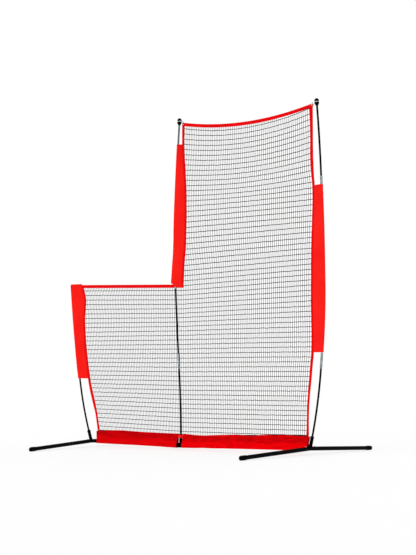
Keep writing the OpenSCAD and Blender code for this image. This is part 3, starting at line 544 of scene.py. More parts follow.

# %% [markdown]
# ## Cloth and cord finishes
# Woven polyester is matt, and its threads only show from near by. The threads follow the UV map,
# which every sheet carries in metres, so they keep their size however the cloth hangs. The patches
# of colour are larger and follow the object: they stand partly for uneven dyeing and partly for the
# folds, as painted shade and painted light. A braid's strands run slantwise round the cord both
# ways, so two slanted waves cross each other, and the low places between them get painted shade.

# %% Cloth
def woven(name, low, high, thread_mm, roughness, mottle, specular=0.06, fuzz=0.0, lit_round_mm=0):
    """Plain-woven polyester. Threads cross at thread_mm, and the colour varies a little in patches,
    partly as uneven dyeing and partly as painted shade of the folds: mottle gives the patches' size
    in mm along X, Y and Z. Cloth nearer than lit_round_mm to its middle line, where it rounds a
    tube, is painted brighter, a painted light. The threads are drawn about twice as coarse as real
    ones, so that a near view still shows them."""
    material, tree, shader = start_material(name, roughness, specular)
    coords = add(tree, "ShaderNodeTexCoord")
    flat, where = coords.outputs["UV"], coords.outputs["Object"]
    split = add(tree, "ShaderNodeSeparateXYZ", {0: flat})
    waves = []
    for axis in (0, 1):
        turns = add(tree, "ShaderNodeMath", {0: split.outputs[axis], 1: pi / (thread_mm * MM)},
                    operation="MULTIPLY")
        waves.append(add(tree, "ShaderNodeMath", {0: turns}, operation="SINE"))
    crossing = add(tree, "ShaderNodeMath", {0: waves[0], 1: waves[1]}, operation="MULTIPLY")
    thread = add(tree, "ShaderNodeMapping", {"Vector": flat, "Scale": (1, 0.05, 1)})
    slub = add(tree, "ShaderNodeTexNoise", {
        "Vector": thread, "Scale": 1 / (thread_mm * 2 * MM), "Detail": 2, "Roughness": 0.55})
    weave = add(tree, "ShaderNodeMath", {0: crossing, 1: slub}, operation="ADD")
    # Painted shade: large patches of colour that follow the object stand partly for uneven dyeing
    # and partly for the shade and light of the folds.
    folds = add(tree, "ShaderNodeMapping", {
        "Vector": where, "Scale": [mottle[1] / size for size in mottle]})
    clouds = add(tree, "ShaderNodeTexNoise", {
        "Vector": folds, "Scale": 1 / (mottle[1] * MM), "Detail": 4, "Roughness": 0.55})
    dye_and_painted_shading = add(tree, "ShaderNodeMapRange", {"Value": clouds, "From Min": 0.32, "From Max": 0.68})
    # Painted light: cloth near the middle line of its cut width, where a band rounds its tube, is
    # painted brighter, and the patches above count for 0.7 of their strength.
    if lit_round_mm:
        off_middle = add(tree, "ShaderNodeMath", {0: split.outputs[0]}, operation="ABSOLUTE")
        lit_round = add(tree, "ShaderNodeMapRange", {
            "Value": off_middle, "From Min": lit_round_mm * 1.5 * MM, "From Max": lit_round_mm * MM})
        half_dye_and_shading = add(tree, "ShaderNodeMath", {0: dye_and_painted_shading, 1: 0.7}, operation="MULTIPLY")
        dye_and_painted_shading = add(tree, "ShaderNodeMath", {0: lit_round, 1: 0.45, 2: half_dye_and_shading},
                  operation="MULTIPLY_ADD")
    tone = add(tree, "ShaderNodeMix", {0: dye_and_painted_shading, 6: linear(low), 7: linear(high)},
               data_type="RGBA")
    relief = add(tree, "ShaderNodeBump", {"Height": weave, "Distance": 0.12 * MM, "Strength": 0.35})
    wire(tree, shader, {"Base Color": tone.outputs[2], "Normal": relief, "Sheen Weight": fuzz,
                        "Sheen Roughness": 0.5})
    return material


sleeve_cloth = woven("woven_polyester_sleeve", "#f71610", "#ff2018", thread_mm=0.9,
                     roughness=0.85, mottle=(160, 160, 160), fuzz=0.03)
# Both bands are painted brighter where they round the crossbar: painted light.
band_cloth_left = woven("woven_polyester_band_left", "#b00004", "#e40007", thread_mm=0.9,
                        roughness=0.85, mottle=(170, 35, 16), specular=0.02, lit_round_mm=42)
band_cloth_right = woven("woven_polyester_band_right", "#b60004", "#f60007", thread_mm=0.9,
                         roughness=0.85, mottle=(60, 30, 18), specular=0.02, lit_round_mm=38)
tape_cloth = woven("woven_binding_tape", "#e00005", "#f20206", thread_mm=1.4, roughness=0.8,
                   mottle=(90, 90, 90))
print("cloth ready")


# %% Cords and thread
def braid(name, low, high, strand_mm):
    """Braided cord: strands cross each other at a slant all round it, with painted shade where they
    lie low.
    """
    material, tree, shader = start_material(name, 0.75, specular=0.2)
    flat = add(tree, "ShaderNodeTexCoord").outputs["UV"]
    split = add(tree, "ShaderNodeSeparateXYZ", {0: flat})
    slants = []
    for side in (1, -1):
        tilted = add(tree, "ShaderNodeMath", {0: split.outputs[1], 1: float(side)},
                     operation="MULTIPLY")
        both = add(tree, "ShaderNodeMath", {0: split.outputs[0], 1: tilted}, operation="ADD")
        turns = add(tree, "ShaderNodeMath", {0: both, 1: pi / (strand_mm * MM)},
                    operation="MULTIPLY")
        slants.append(add(tree, "ShaderNodeMath", {0: turns}, operation="SINE"))
    over = add(tree, "ShaderNodeMath", {0: slants[0], 1: slants[1]}, operation="MAXIMUM")
    # Painted shade: the cord's colour is darker where the strands lie low, in the grooves between
    # them.
    height = add(tree, "ShaderNodeMapRange", {"Value": over, "From Min": -0.4, "From Max": 1.0})
    tone = add(tree, "ShaderNodeMix", {0: height, 6: linear(low), 7: linear(high)},
               data_type="RGBA")
    relief = add(tree, "ShaderNodeBump", {"Height": over, "Distance": 0.25 * MM, "Strength": 0.8})
    wire(tree, shader, {"Base Color": tone.outputs[2], "Normal": relief})
    return material


def twisted_cord(name, low, high):
    """Twisted polyester: matt, a little paler where fibres stand up."""
    material, tree, shader = start_material(name, 0.85, specular=0.05)
    where = add(tree, "ShaderNodeTexCoord").outputs["Object"]
    fluff = add(tree, "ShaderNodeTexNoise", {
        "Vector": where, "Scale": 1 / (3 * MM), "Detail": 3, "Roughness": 0.55})
    lint = add(tree, "ShaderNodeMapRange", {"Value": fluff, "From Min": 0.35, "From Max": 0.7})
    tone = add(tree, "ShaderNodeMix", {0: lint, 6: linear(low), 7: linear(high)},
               data_type="RGBA")
    strands = add(tree, "ShaderNodeTexNoise", {
        "Vector": where, "Scale": 1 / (0.9 * MM), "Detail": 3, "Roughness": 0.55})
    relief = add(tree, "ShaderNodeBump", {
        "Height": strands, "Distance": 0.15 * MM, "Strength": 0.8})
    wire(tree, shader, {"Base Color": tone.outputs[2], "Normal": relief})
    return material


thread_red = twisted_cord("red_sewing_thread", "#a40006", "#c80a10")
loop_braid = braid("braided_elastic", "#b2b5b7", "#eceeef", 0.9)
net_cord = twisted_cord("tarred_polyester_cord", "#060606", "#141414")
print("cords and thread ready")

# %% [markdown]
# ## The net
# The real net is one sheet of knotted cord. Modelling thousands of meshes by hand would be
# hopeless, so one knot is modelled with the cord that leads on to the next knot. Array modifiers
# lay a flat net of them, as a net lies on the maker's table. Then every point is moved from its
# column and row on the table to the place where that column and row hang on the screen. There are
# thousands of knots, so each cord has only four sides.

# %% One knot with its two cords
cord_r = 1.52
row_cord_r = 2.0
knot_r = 2.6
knot_half = 3.2
knot_depth = 1.9
column_pitch = 15
row_pitch = 31.7
meeting_gap = 0.05


def cord_piece(start, end, start_r, end_r, turned=False, sides=4):
    """A length of cord up z, or along x where turned, open at both ends."""
    middle, length = (start + end) / 2, end - start
    bpy.ops.object.select_all(action="DESELECT")
    bpy.ops.mesh.primitive_cone_add(
        vertices=sides, radius1=start_r * MM, radius2=end_r * MM, depth=length * MM,
        end_fill_type="NOTHING", rotation=(0, pi / 2, 0) if turned else (0, 0, 0),
        location=(middle * MM, 0, 0) if turned else (0, 0, middle * MM))
    place_in_mesh(bpy.context.object)
    return bpy.context.object


def join(pieces, name):
    bpy.ops.object.select_all(action="DESELECT")
    for piece in pieces:
        piece.select_set(True)
    bpy.context.view_layer.objects.active = pieces[0]
    bpy.ops.object.join()
    joined = bpy.context.object
    joined.name = joined.data.name = name
    return joined


def weld(obj, gap_mm):
    """Merges points closer than gap_mm and turns every face outwards."""
    select_only(obj)
    bpy.ops.object.mode_set(mode="EDIT")
    bpy.ops.mesh.select_all(action="SELECT")
    bpy.ops.mesh.remove_doubles(threshold=gap_mm * MM)
    bpy.ops.mesh.normals_make_consistent(inside=False)
    bpy.ops.object.mode_set(mode="OBJECT")


def close_ends(obj, sides):
    """Closes the open ends of a cord that has so many sides."""
    select_only(obj)
    bpy.ops.object.mode_set(mode="EDIT")
    bpy.ops.mesh.select_all(action="SELECT")
    bpy.ops.mesh.fill_holes(sides=sides)
    bpy.ops.object.mode_set(mode="OBJECT")


def repeat(obj, offset, count):
    """Copies an object into a row, each copy so many mm from the last, merged where they meet."""
    array = obj.modifiers.new("repeat", "ARRAY")
    array.use_relative_offset = False
    array.use_constant_offset = True
    array.constant_offset_displace = [step * MM for step in offset]
    array.count = count
    array.use_merge_vertices = True
    array.merge_threshold = meeting_gap * MM
    apply_modifiers(obj)


def flat_net(name, columns, rows):
    """A flat net on the table: columns by rows knots, the first knot at x = z = 0."""
    knot = join([
        cord_piece(-knot_half, 0, cord_r, knot_r),
        cord_piece(0, knot_half, knot_r, cord_r),
        cord_piece(knot_half, row_pitch - knot_half, cord_r, cord_r),
        cord_piece(0, column_pitch, row_cord_r, row_cord_r, turned=True)], name)
    weld(knot, meeting_gap)
    repeat(knot, (column_pitch, 0, 0), columns)
    repeat(knot, (0, 0, row_pitch), rows)
    return knot


def points_of(obj):
    """The places of a mesh's points, one row for each."""
    flat = np.empty(len(obj.data.vertices) * 3)
    obj.data.vertices.foreach_get("co", flat)
    return flat.reshape(-1, 3)


def set_points(obj, places):
    obj.data.vertices.foreach_set("co", np.asarray(places, dtype=float).ravel())
    obj.data.update()


print("one knot has %.0f mm of cord" % (row_pitch + column_pitch))

# %% [markdown]
# ## How the net hangs
# On the table every row is straight and every mesh the same. On the screen the rows sag, crowd
# together where the net is slack and spread where it is pulled. A cloth simulation could find
# this, but it would take long and might come out differently each time. So the heights of a few
# rows are given at three places across the tall panel, each with its row counted from the one at
# mid height, and smooth curves give all the others.

# %% Where each row and column of the net hangs
row_heights = {
    0.047: [(-46, 118), (-26, 706), (-13, 1086), (0, 1527), (17, 2083)],
    0.524: [(-46, 116), (-26, 708), (-13, 1100), (0, 1526), (5, 1676), (17, 2046)],
    0.869: [(-46, 116), (-26, 708), (-13, 1110), (0, 1530), (17, 2090)]}
low_row_heights = [(-47, 113), (-26, 712), (-14, 1081)]
low_heights_x = -846
panel_start = -86
panel_width = 947
first_row = -48
last_row = 18
low_last_row = -14
tall_columns = 66
low_columns = 59
crowding = -0.04
settle_steps = 3

row_list = np.linspace(first_row - 1, last_row + 1, 300)
height_list = np.linspace(80, 2120, 600)


def hang_of(table):
    """Height for every row number, from a few rows."""
    low_step = (table[1][1] - table[0][1]) / (table[1][0] - table[0][0])
    high_step = (table[-1][1] - table[-2][1]) / (table[-1][0] - table[-2][0])
    wide = [(first_row - 2, table[0][1] + low_step * (first_row - 2 - table[0][0]))] + table + \
        [(last_row + 2, table[-1][1] + high_step * (last_row + 2 - table[-1][0]))]
    return np.array([flow(k, wide) for k in row_list])


tall_rows = {u: hang_of(table) for u, table in row_heights.items()}
low_rows = hang_of(low_row_heights)
edge = {name: np.array([f(z) for z in height_list]) for name, f in (
    ("left", left_inner), ("right", right_inner),
    ("split", lambda z: split_x if z < low_border_right else middle_inner(z)))}


def tall_height(row, x):
    """Height of a row at x: a curve through its three known heights."""
    u = (x - panel_start) / panel_width
    knots = sorted(tall_rows)
    total = 0
    for a in knots:
        share = 1.0
        for b in knots:
            if b != a:
                share = share * (u - b) / (a - b)
        total = total + share * np.interp(row, row_list, tall_rows[a])
    return total


def tall_place(column, row):
    """Where a column and row of the tall panel hang, as x and z in mm. Each depends on the other,
    so a first guess is settled in a few steps."""
    t = column / tall_columns
    z = tall_height(row, panel_start + t * panel_width)
    for _ in range(settle_steps):
        left = np.interp(z, height_list, edge["split"])
        right = np.interp(z, height_list, edge["right"])
        x = left + (right - left) * (t + crowding * t * (1 - t))
        z = tall_height(row, x)
    return x, z


def low_place(column, row):
    """The same for the low panel, whose rows meet the tall panel's rows at the split."""
    t = column / low_columns
    z = np.interp(row, row_list, low_rows)
    at_split = tall_height(row, split_x)
    at_left = np.interp(row, row_list, low_rows)
    for _ in range(settle_steps):
        left = np.interp(z, height_list, edge["left"])
        x = left + (split_x - left) * (t + crowding * t * (1 - t))
        z = at_left + (at_split - at_left) * (x - low_heights_x) / (split_x - low_heights_x)
    return x, z


for row in (-46, -26, -13, 0, 16):
    print("row %d hangs at %.0f mm beside the middle pole and %.0f mm at the right edge"
          % (row, tall_height(row, top_left_x), tall_height(row, top_right_x)))

# %% [markdown]
# ## Hanging and trimming
# Both flat nets are laid larger than they are needed. Each is hung, and then cut off inside its
# border, deep enough that the tape hides every cut end. No knot of a real net sits exactly in
# line, so each one wanders by a fraction of a millimetre. The random numbers start from a fixed
# seed, so the net comes out the same every time.

# %% Hanging a net and cutting it off
tuck = 8
bottom_tuck = 18
top_tuck = 4
split_tuck = 3
split_end = 1.0
grip_ease = 3
grip_share = 0.5
wander_x, wander_z, wander_y = 0.45, 0.7, 0.25
cord_wander = np.random.default_rng(11)


def hang_net(net, columns, rows, place):
    """Moves every point of a flat net to its place, with a little unevenness at each knot."""
    flat = points_of(net) / MM
    column = flat[:, 0] / column_pitch
    row = flat[:, 2] / row_pitch + first_row
    x, z = place(column, row)
    near_c = np.clip(np.rint(flat[:, 0] / column_pitch).astype(int), 0, columns)
    near_r = np.clip(np.rint(flat[:, 2] / row_pitch).astype(int), 0, rows)
    wander = cord_wander.normal(0, 1, (3, columns + 1, rows + 1))
    x = x + wander_x * wander[0, near_c, near_r]
    z = z + wander_z * wander[1, near_c, near_r]
    y = net_y + flat[:, 1] * knot_depth / knot_r + wander_y * wander[2, near_c, near_r]
    set_points(net, np.column_stack([x * MM + hub_mid, y * MM, z * MM]))
    return x, z


def trim_net(net, x, z, right_limit, top_limit, bottom_limit, left_limit):
    """Cuts the net off inside its border, closes the cut cords and flattens what the tape grips."""
    inside = np.minimum.reduce([right_limit - tuck - x, x - left_limit - tuck,
                                top_limit + top_tuck - border_w - z,
                                z - bottom_limit - bottom_tuck])
    grip = np.clip(1 - inside / grip_ease, 0, 1)
    places = points_of(net)
    places[:, 1] = net_y * MM + (places[:, 1] - net_y * MM) * (1 - grip * (1 - grip_share))
    set_points(net, places)
    lost = (x > right_limit) | (x < left_limit) | (z > top_limit) | (z < bottom_limit)
    select_only(net)
    bpy.ops.object.mode_set(mode="EDIT")
    bpy.ops.mesh.select_mode(type="VERT")
    bpy.ops.mesh.select_all(action="DESELECT")
    bpy.ops.object.mode_set(mode="OBJECT")
    net.data.vertices.foreach_set("select", lost)
    bpy.ops.object.mode_set(mode="EDIT")
    bpy.ops.mesh.delete(type="VERT")
    bpy.ops.mesh.select_all(action="SELECT")
    bpy.ops.mesh.delete_loose()
    bpy.ops.mesh.select_all(action="SELECT")
    bpy.ops.mesh.fill_holes(sides=4)
    bpy.ops.object.mode_set(mode="OBJECT")


print("knots wander by about %.2f mm across and %.2f mm up" % (wander_x, wander_z))

# %% The two panels
tall_rows_used = last_row - first_row + 1
net_tall = flat_net("netting_tall", tall_columns + 1, tall_rows_used)
x, z = hang_net(net_tall, tall_columns + 1, tall_rows_used, tall_place)
bottom = np.array([bottom_line(a) for a in x]) - bottom_tuck
trim_net(net_tall, x, z, np.interp(z, height_list, edge["right"]) + tuck,
         np.array([top_line(a) for a in x]) - top_tuck, bottom,
         np.interp(z, height_list, edge["split"])
         - np.where(z < low_border_right, split_tuck, tuck))

low_rows_used = low_last_row - first_row + 1
net_low = flat_net("netting_low", low_columns, low_rows_used)
x, z = hang_net(net_low, low_columns, low_rows_used, low_place)
bottom = np.array([bottom_line(a) for a in x]) - bottom_tuck
trim_net(net_low, x, z, np.full(len(x), split_x + split_end), low_line(x) - top_tuck, bottom,
         np.interp(z, height_list, edge["left"]) - tuck)
for net, node in ((net_tall, "net_tall"), (net_low, "net_low")):
    net.data.materials.clear()
    net.data.materials.append(net_cord)
    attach(net, "screen")
    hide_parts(node)
    print(net.name, triangles(net), "triangles")

# %% [markdown]
# ## Rows of stitches
# Every hem and seam is sewn. A bump could only hint at the thread, so one stitch is modelled as a
# short thread that thins towards both ends, copied into a straight row and then laid along the
# seam, the way the net was laid out flat and then hung.

# %% Laying a straight row along a line
stitch_pitch = 4
stitch_half = 1.4
stitch_r = 0.5
stitch_end_r = 0.25
thread_lift = 0.4


def lay_along(obj, centres, tips):
    """Bends what was modelled along x in mm so that it follows a line of places. Its y turns
    towards the tips, which lie outwards from those places."""
    along = np.gradient(centres, axis=0)
    along /= np.linalg.norm(along, axis=1)[:, None]
    out = (tips - centres) / np.linalg.norm(tips - centres, axis=1)[:, None]
    run = np.concatenate([[0], np.cumsum(np.linalg.norm(np.diff(centres, axis=0), axis=1))])
    flat = points_of(obj) / MM

    def spread(values):
        return np.column_stack([np.interp(flat[:, 0], run, values[:, k]) for k in range(3)])

    placed = (spread(centres) + spread(out) * flat[:, 1:2]
              + spread(np.cross(along, out)) * flat[:, 2:3])
    set_points(obj, placed * MM + np.array([hub_mid, 0, 0]))


def stitch_row(seam, samples=240):
    """A row of stitches. seam(t, off) gives its place in mm, off mm away from mid cloth."""
    ts = np.linspace(0, 1, samples)
    centres = np.array([seam(t, thread_lift) for t in ts])
    tips = np.array([seam(t, thread_lift + 1) for t in ts])
    length = np.linalg.norm(np.diff(centres, axis=0), axis=1).sum()
    row = join([
        cord_piece(0, stitch_half, stitch_end_r, stitch_r, turned=True),
        cord_piece(stitch_half, 2 * stitch_half, stitch_r, stitch_end_r, turned=True)], "row")
    weld(row, meeting_gap)
    close_ends(row, 4)
    repeat(row, (stitch_pitch, 0, 0), max(2, int(length / stitch_pitch)))
    lay_along(row, centres, tips)
    return row


def stitching(name, seams):
    """All the stitches of one piece of cloth, as one piece that stays with it."""
    rows = join([stitch_row(seam) for seam in seams], name)
    rows.data.materials.append(thread_red)
    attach(rows, "screen")
    print("%s: %d rows, %d triangles" % (name, len(seams), triangles(rows)))
    return rows


print("a stitch is %.1f mm long, one every %d mm" % (2 * stitch_half, stitch_pitch))

# %% [markdown]
# ## Border tape
# The net's edge is bound with tape: a ribbon folded in half along its length, with the net
# between its two layers. A flat box would miss the fold and the open edges, so each tape is one
# sheet that runs across the front, round the fold and across the back. Two fifths of its cut
# width make each layer, and the last fifth goes round.

# %% Folded tape
tape_cloth_t = 0.8
fold_r = 1.1
layer_share = 0.4
round_share = 0.2
tape_cells = 20
tape_line_in = 0.09
tape_line_end = 0.004
top_gap = 0.3


def folded_tape(name, node, outer, inner, cells, wobble=0.3):
    """outer(t) and inner(t) give (x, z) on the fold and on the open edge, t from 0 to 1."""

    def place(u, t, off=0.0):
        fold, free = Vector(outer(t)), Vector(inner(t))
        width = (fold - free).length
        outward = (fold - free) / width
        if layer_share < u < 1 - layer_share:
            a = (u - layer_share) / round_share * pi
            reach, y = width - fold_r + (fold_r + off) * sin(a), -(fold_r + off) * cos(a)
        else:
            reach = (width - fold_r) * (min(u, 1 - u) / layer_share)
            y = -(fold_r + off) if u < 0.5 else fold_r + off
        spot = free + outward * reach
        y += wobble * noise.noise(Vector((spot.x * 0.02, spot.y * 0.02, len(name))))
        return spot.x, net_y + y, spot.y

    sheet, size = cloth_sheet(name, tape_cells, cells, place, tape_cloth_t)
    sheet.data.materials.append(tape_cloth)
    seams = [lambda t, off, u=u: place(u, mix(tape_line_end, 1 - tape_line_end, t), off)
             for u in (tape_line_in, 1 - tape_line_in)]
    thread = stitching(name + "_stitches", seams)
    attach(sheet, "screen")
    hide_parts(node)
    print("%s: cut %.0f by %.0f mm, %d triangles" % (name, size[0] / MM, size[1] / MM,
                                                     triangles(sheet)))
    return sheet


def tall_under(x):
    return top_line(x) - border_w


def low_under(x):
    return low_line(x) - border_w


def across(from_x, to_x, height_of):
    """An edge that runs from one x to another at the height that height_of gives."""
    return lambda t: (mix(from_x, to_x, t), height_of(mix(from_x, to_x, t)))


print("a tape's cloth is %.1f mm thick and turns at a radius of %.1f mm" % (tape_cloth_t, fold_r))

# %% Top and side tapes
top_tape = folded_tape(
    "top_tape_tall", "border_top_tall", across(top_left_x, top_right_x, top_line),
    across(top_left_x, top_right_x, tall_under), 160)
folded_tape("top_tape_low", "border_top_low", across(low_left_x, split_x, low_line),
            across(low_left_x, split_x, low_under), 110)


def side(x_of, low, top_of):
    """An edge that climbs from a height to just under the strip above it. Where it meets the strip
    depends on its x there, so a rough height is settled in a few steps."""
    end = 2000 if top_of is tall_under else 1070
    for _ in range(settle_steps + 1):
        end = top_of(x_of(end))
    return lambda t: (x_of(mix(low, end - top_gap, t)), mix(low, end - top_gap, t))


tape_low = net_bottom + 1.4
folded_tape("side_tape_right", "border_right",
            side(right_outer, tape_low, tall_under), side(right_inner, tape_low, tall_under), 300)
folded_tape("side_tape_left", "border_left",
            side(left_outer, tape_low, low_under), side(left_inner, tape_low, low_under), 160)
folded_tape("side_tape_middle", "border_middle",
            side(middle_outer, low_border_right + 1, tall_under),
            side(middle_inner, low_border_right + 1, tall_under), 160)

# %% [markdown]
# ## Sleeves
# A sleeve is a wide strip of cloth folded round the pole and sewn to the tape. In section it is a
# long teardrop: round where it wraps the pole, flat where the net pulls it. The hems are turned
# in, so the cloth is double for a finger's width at each end. It could be draped by a cloth
# simulation, but the net holds it so tight that its section can simply be drawn. Slow noise,
# stretched along the pole, gives the soft gathers of cloth that is pulled sideways.

# %% The section of cloth wrapped round a pole or tube
seam_lap = 3
seam_y = 2.0
wall_share = 0.4
wrap_share = 0.2


def section_point(u, reach, slack, r, lift, proud):
    """A teardrop section. u runs from the front seam round the pole to the rear seam. The result
    is the point, as its distance towards the seam and its depth y, then the outward direction and
    how far along its free wall the point lies, from 0 at the pole to 1 at the seam."""
    seam_front = lift - seam_y
    hug = atan2(seam_front, reach) + asin(r / hypot(reach, seam_front))
    leaves = Vector((sin(hug), -cos(hug)))
    if u <= wall_share:
        free = 1 - u / wall_share
        spot, out = (leaves * r).lerp(Vector((reach, seam_front)), free), leaves
    elif u >= 1 - wall_share:
        free = (u - (1 - wall_share)) / wall_share
        spot = Vector((0, r)).lerp(Vector((reach, lift + seam_y)), free)
        out = Vector((-(lift + seam_y - r), reach)).normalized()
    else:
        free = 0.0
        s = (u - wall_share) / wrap_share * (hug * r + 2 * slack + pi * r) - hug * r
        a = min(0, s / r) + max(0, min(pi, (s - slack) / r))
        out = Vector((-sin(a), -cos(a)))
        spot = Vector((-max(0, min(slack, s, 2 * slack + pi * r - s)), 0)) + out * r
    return spot + out * proud, out, free


print("a sleeve's front and rear walls are %.0f mm apart at the seam" % (2 * seam_y))

# %% Hems and their stitches
hem = 12
hem_step = 0.5
step_ease = 1.5
hem_line_in = 1.5
hem_line_end = 0.02
seam_line_in = 0.03
seam_line_end = 0.003


def hem_stops(low, high, cells):
    """Places along a sleeve, packed closely at the two hems."""
    ends = [0, 1, hem - 1, hem]
    inner = np.linspace(low + hem, high - hem, cells - 2 * (len(ends) - 1) + 1)[1:-1]
    return [low + e for e in ends] + inner.tolist() + [high - e for e in reversed(ends)]


def hem_proud(place, low, high):
    """How much further out the doubled cloth of a hem lies."""
    from_end = min(place - low, high - place)
    return hem_step * (1 - smooth((from_end - hem + step_ease) / step_ease))


def hems_and_seams(place, stops, open_top=True):
    """The stitched lines of a sleeve: one round each open hem and one beside each long edge."""
    span = stops[-1] - stops[0]
    low, high = (hem - hem_line_in) / span, 1 - (hem - hem_line_in) / span
    rounds = [low, high] if open_top else [low]
    round_lines = [lambda t, off, v=v: place(mix(hem_line_end, 1 - hem_line_end, t), v, off)
                   for v in rounds]
    edge_lines = [lambda t, off, u=u: place(u, mix(seam_line_end, 1 - seam_line_end, t), off)
                  for u in (seam_line_in, 1 - seam_line_in)]
    return round_lines + edge_lines


print("hems are turned in by %d mm" % hem)

# %% One sleeve
sleeve_t = 0.8
sleeve_r = 8.5
shut_r = 1.6
section_cells = 44
sleeve_cells = 150
end_ease = 90
flap_ease = 60


def sleeve(name, node, low, high, axis, seam, slack_at, gathers, tilt=(0, 0), closed_top=0.0,
           flap=0.0):
    """tilt raises the pole side of the bottom and top hems, closed_top is the height that is sewn
    shut, and flap is how much lower the front layer reaches than the rear one."""
    stops = hem_stops(low, high, sleeve_cells)
    cells = len(stops) - 1

    def place(u, v, off=0.0):
        z = float(np.interp(v * cells, range(cells + 1), stops))
        axis_here, seam_here = axis_x(axis, z), seam(z)
        toward = 1 if seam_here > axis_here else -1
        reach = abs(seam_here - axis_here) + seam_lap
        shut = smooth((z - high + closed_top) / closed_top) if closed_top else 0.0
        r = mix(sleeve_r, shut_r, shut)
        spot, out, free = section_point(u, reach, slack_at(z) + (sleeve_r - r) * 0.4, r, net_y,
                                        hem_proud(z, low, high) + off)
        flatness = 1 - abs(free * 2 - 1)
        # Gathers are about 22 mm wide and 170 mm long, and small folds 9 by 50 mm.
        fold = noise.noise(Vector((spot.x * 0.045, z * 0.006, len(name) + (0 if u < 0.5 else 7))))
        small = noise.noise(Vector((spot.x * 0.11, z * 0.02, len(name) + (3 if u < 0.5 else 9))))
        spot += out * flatness * (gathers * fold + 0.35 * gathers * small)
        share = spot.x / reach
        near_low = smooth((low + end_ease - z) / end_ease)
        near_high = smooth((z - high + end_ease) / end_ease)
        ends = near_low * tilt[0] + near_high * tilt[1]
        corner = flap * 0.4 * max(0.0, 1 - u / 0.09) ** 2
        lower = ((flap * (1 - smooth((u - 0.38) / 0.1)) - corner)
                 * smooth((low + flap_ease - z) / flap_ease))
        return axis_here + toward * spot.x, spot.y, z + ends * (1 - share) - lower

    sheet, size = cloth_sheet(name, section_cells, cells, place, sleeve_t)
    sheet.data.materials.append(sleeve_cloth)
    thread = stitching(name + "_stitches", hems_and_seams(place, stops, closed_top == 0))
    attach(sheet, "screen")
    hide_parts(node)
    print("%s: cut %.0f by %.0f mm, %d triangles" % (name, size[0] / MM, size[1] / MM,
                                                     triangles(sheet)))
    return sheet


print("a sleeve wraps its pole at a radius of %.1f mm" % sleeve_r)

# %% The three sleeves
sleeve("sleeve_left_cloth", "sleeve_left", *left_sleeve, left_axis, left_outer,
       lambda z: flow(z, left_slack), gathers=2.2, closed_top=13)
sleeve("sleeve_middle_cloth", "sleeve_middle", *middle_sleeve, middle_axis, middle_outer,
       lambda z: flow(z, middle_slack), gathers=2.2, tilt=(4, 0), flap=24)
sleeve("sleeve_right_cloth", "sleeve_right", *right_sleeve, right_axis, right_outer,
       lambda z: 0.0, gathers=2.0)

# %% [markdown]
# ## Bottom bands
# The two bands hold the net down to the crossbar in the same way, so the sleeves' section is used
# again, lying on its side. They are not stretched as hard as the sleeves, so their cloth is
# fuller and creases more, and their sewn edge waves up and down.

# %% One band round the crossbar
band_t = 0.8
band_cells = 170
band_slip = 0.7


def band_round(x):
    """Radius of the band: it has to go over the tee near the middle pole."""
    near = min(1.0, max(0.0, (3 * tee_half - abs(x - middle_x)) / tee_half))
    return mix(tube_d / 2, tee_d / 2, near) + band_slip


def band(name, node, from_x, to_x, cloth, creases, wave, slack_at, slants):
    """wave moves the sewn edge up or down along the band. slants move the four corners along the
    bar: the seam and tube corners at the low end of x, then the same two at the high end."""
    stops = hem_stops(from_x, to_x, band_cells)
    cells = len(stops) - 1

    def place(u, v, off=0.0):
        x = float(np.interp(v * cells, range(cells + 1), stops))
        reach = bottom_line(x) - bar_z(x) + seam_lap + flow(x, wave)
        spot, out, free = section_point(u, reach, flow(x, slack_at), band_round(x), net_y,
                                        hem_proud(x, from_x, to_x) + off)
        side_seed = 0 if u < 0.5 else 5
        # Creases are about 170 mm long and 20 mm wide, and small ones 33 by 14 mm.
        fold = noise.noise(Vector((x * 0.006, spot.x * 0.05, len(name) + side_seed)))
        small = noise.noise(Vector((x * 0.03, spot.x * 0.07, len(name) + side_seed + 2)))
        spot += out * (1 - abs(free * 2 - 1)) * creases * (fold + 0.5 * small)
        share = min(1.0, max(0.0, spot.x / reach))
        near_low = smooth((from_x + end_ease - x) / end_ease)
        near_high = smooth((x - to_x + end_ease) / end_ease)
        slant = (near_low * mix(slants[1], slants[0], share)
                 + near_high * mix(slants[3], slants[2], share))
        return x + slant, spot.y, bar_z(x) + spot.x

    sheet, size = cloth_sheet(name, section_cells, cells, place, band_t)
    sheet.data.materials.append(cloth)
    thread = stitching(name + "_stitches", hems_and_seams(place, stops))
    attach(sheet, "screen")
    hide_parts(node)
    print("%s: cut %.0f by %.0f mm, %d triangles" % (name, size[0] / MM, size[1] / MM,
                                                     triangles(sheet)))
    return sheet


print("a band lies %.1f mm off the tube" % band_slip)

# %% The two bands
left_wave = [(-800, -8), (-740, -5), (-670, 0), (-600, 2), (-510, 0), (-420, -2), (-240, -3),
             (left_band[1], -3)]
right_wave = [(right_band[0], -2), (-20, -8), (60, -11), (140, -8), (213, -5), (309, -2),
              (350, -3), (405, -7), (450, -6), (490, -1), (597, 1), (690, 1), (750, -3),
              (812, -5)]
left_sag = [(left_band[0], 0), (-440, 0), (-330, 1), (-150, 1)]
right_sag = [(right_band[0], 0), (60, 0), (140, 1), (220, 0), (812, 0)]
band("band_left_cloth", "band_left", *left_band, band_cloth_left, creases=3.5,
     wave=left_wave, slack_at=left_sag, slants=(-14, 6, 0, 0))
band("band_right_cloth", "band_right", *right_band, band_cloth_right, creases=5.0,
     wave=right_wave, slack_at=right_sag, slants=(-3, -5, 17, 7))

# %% [markdown]
# ## The cord along the bottom edge
# A flat black cord is knitted into the net's bottom edge, and both bands are sewn on just below
# it. Most of it hides behind the bands, and it shows where they dip: at both ends and once in
# between. It thickens at every mesh, so one mesh of it is modelled as two cones, repeated, and
# laid along the edge.

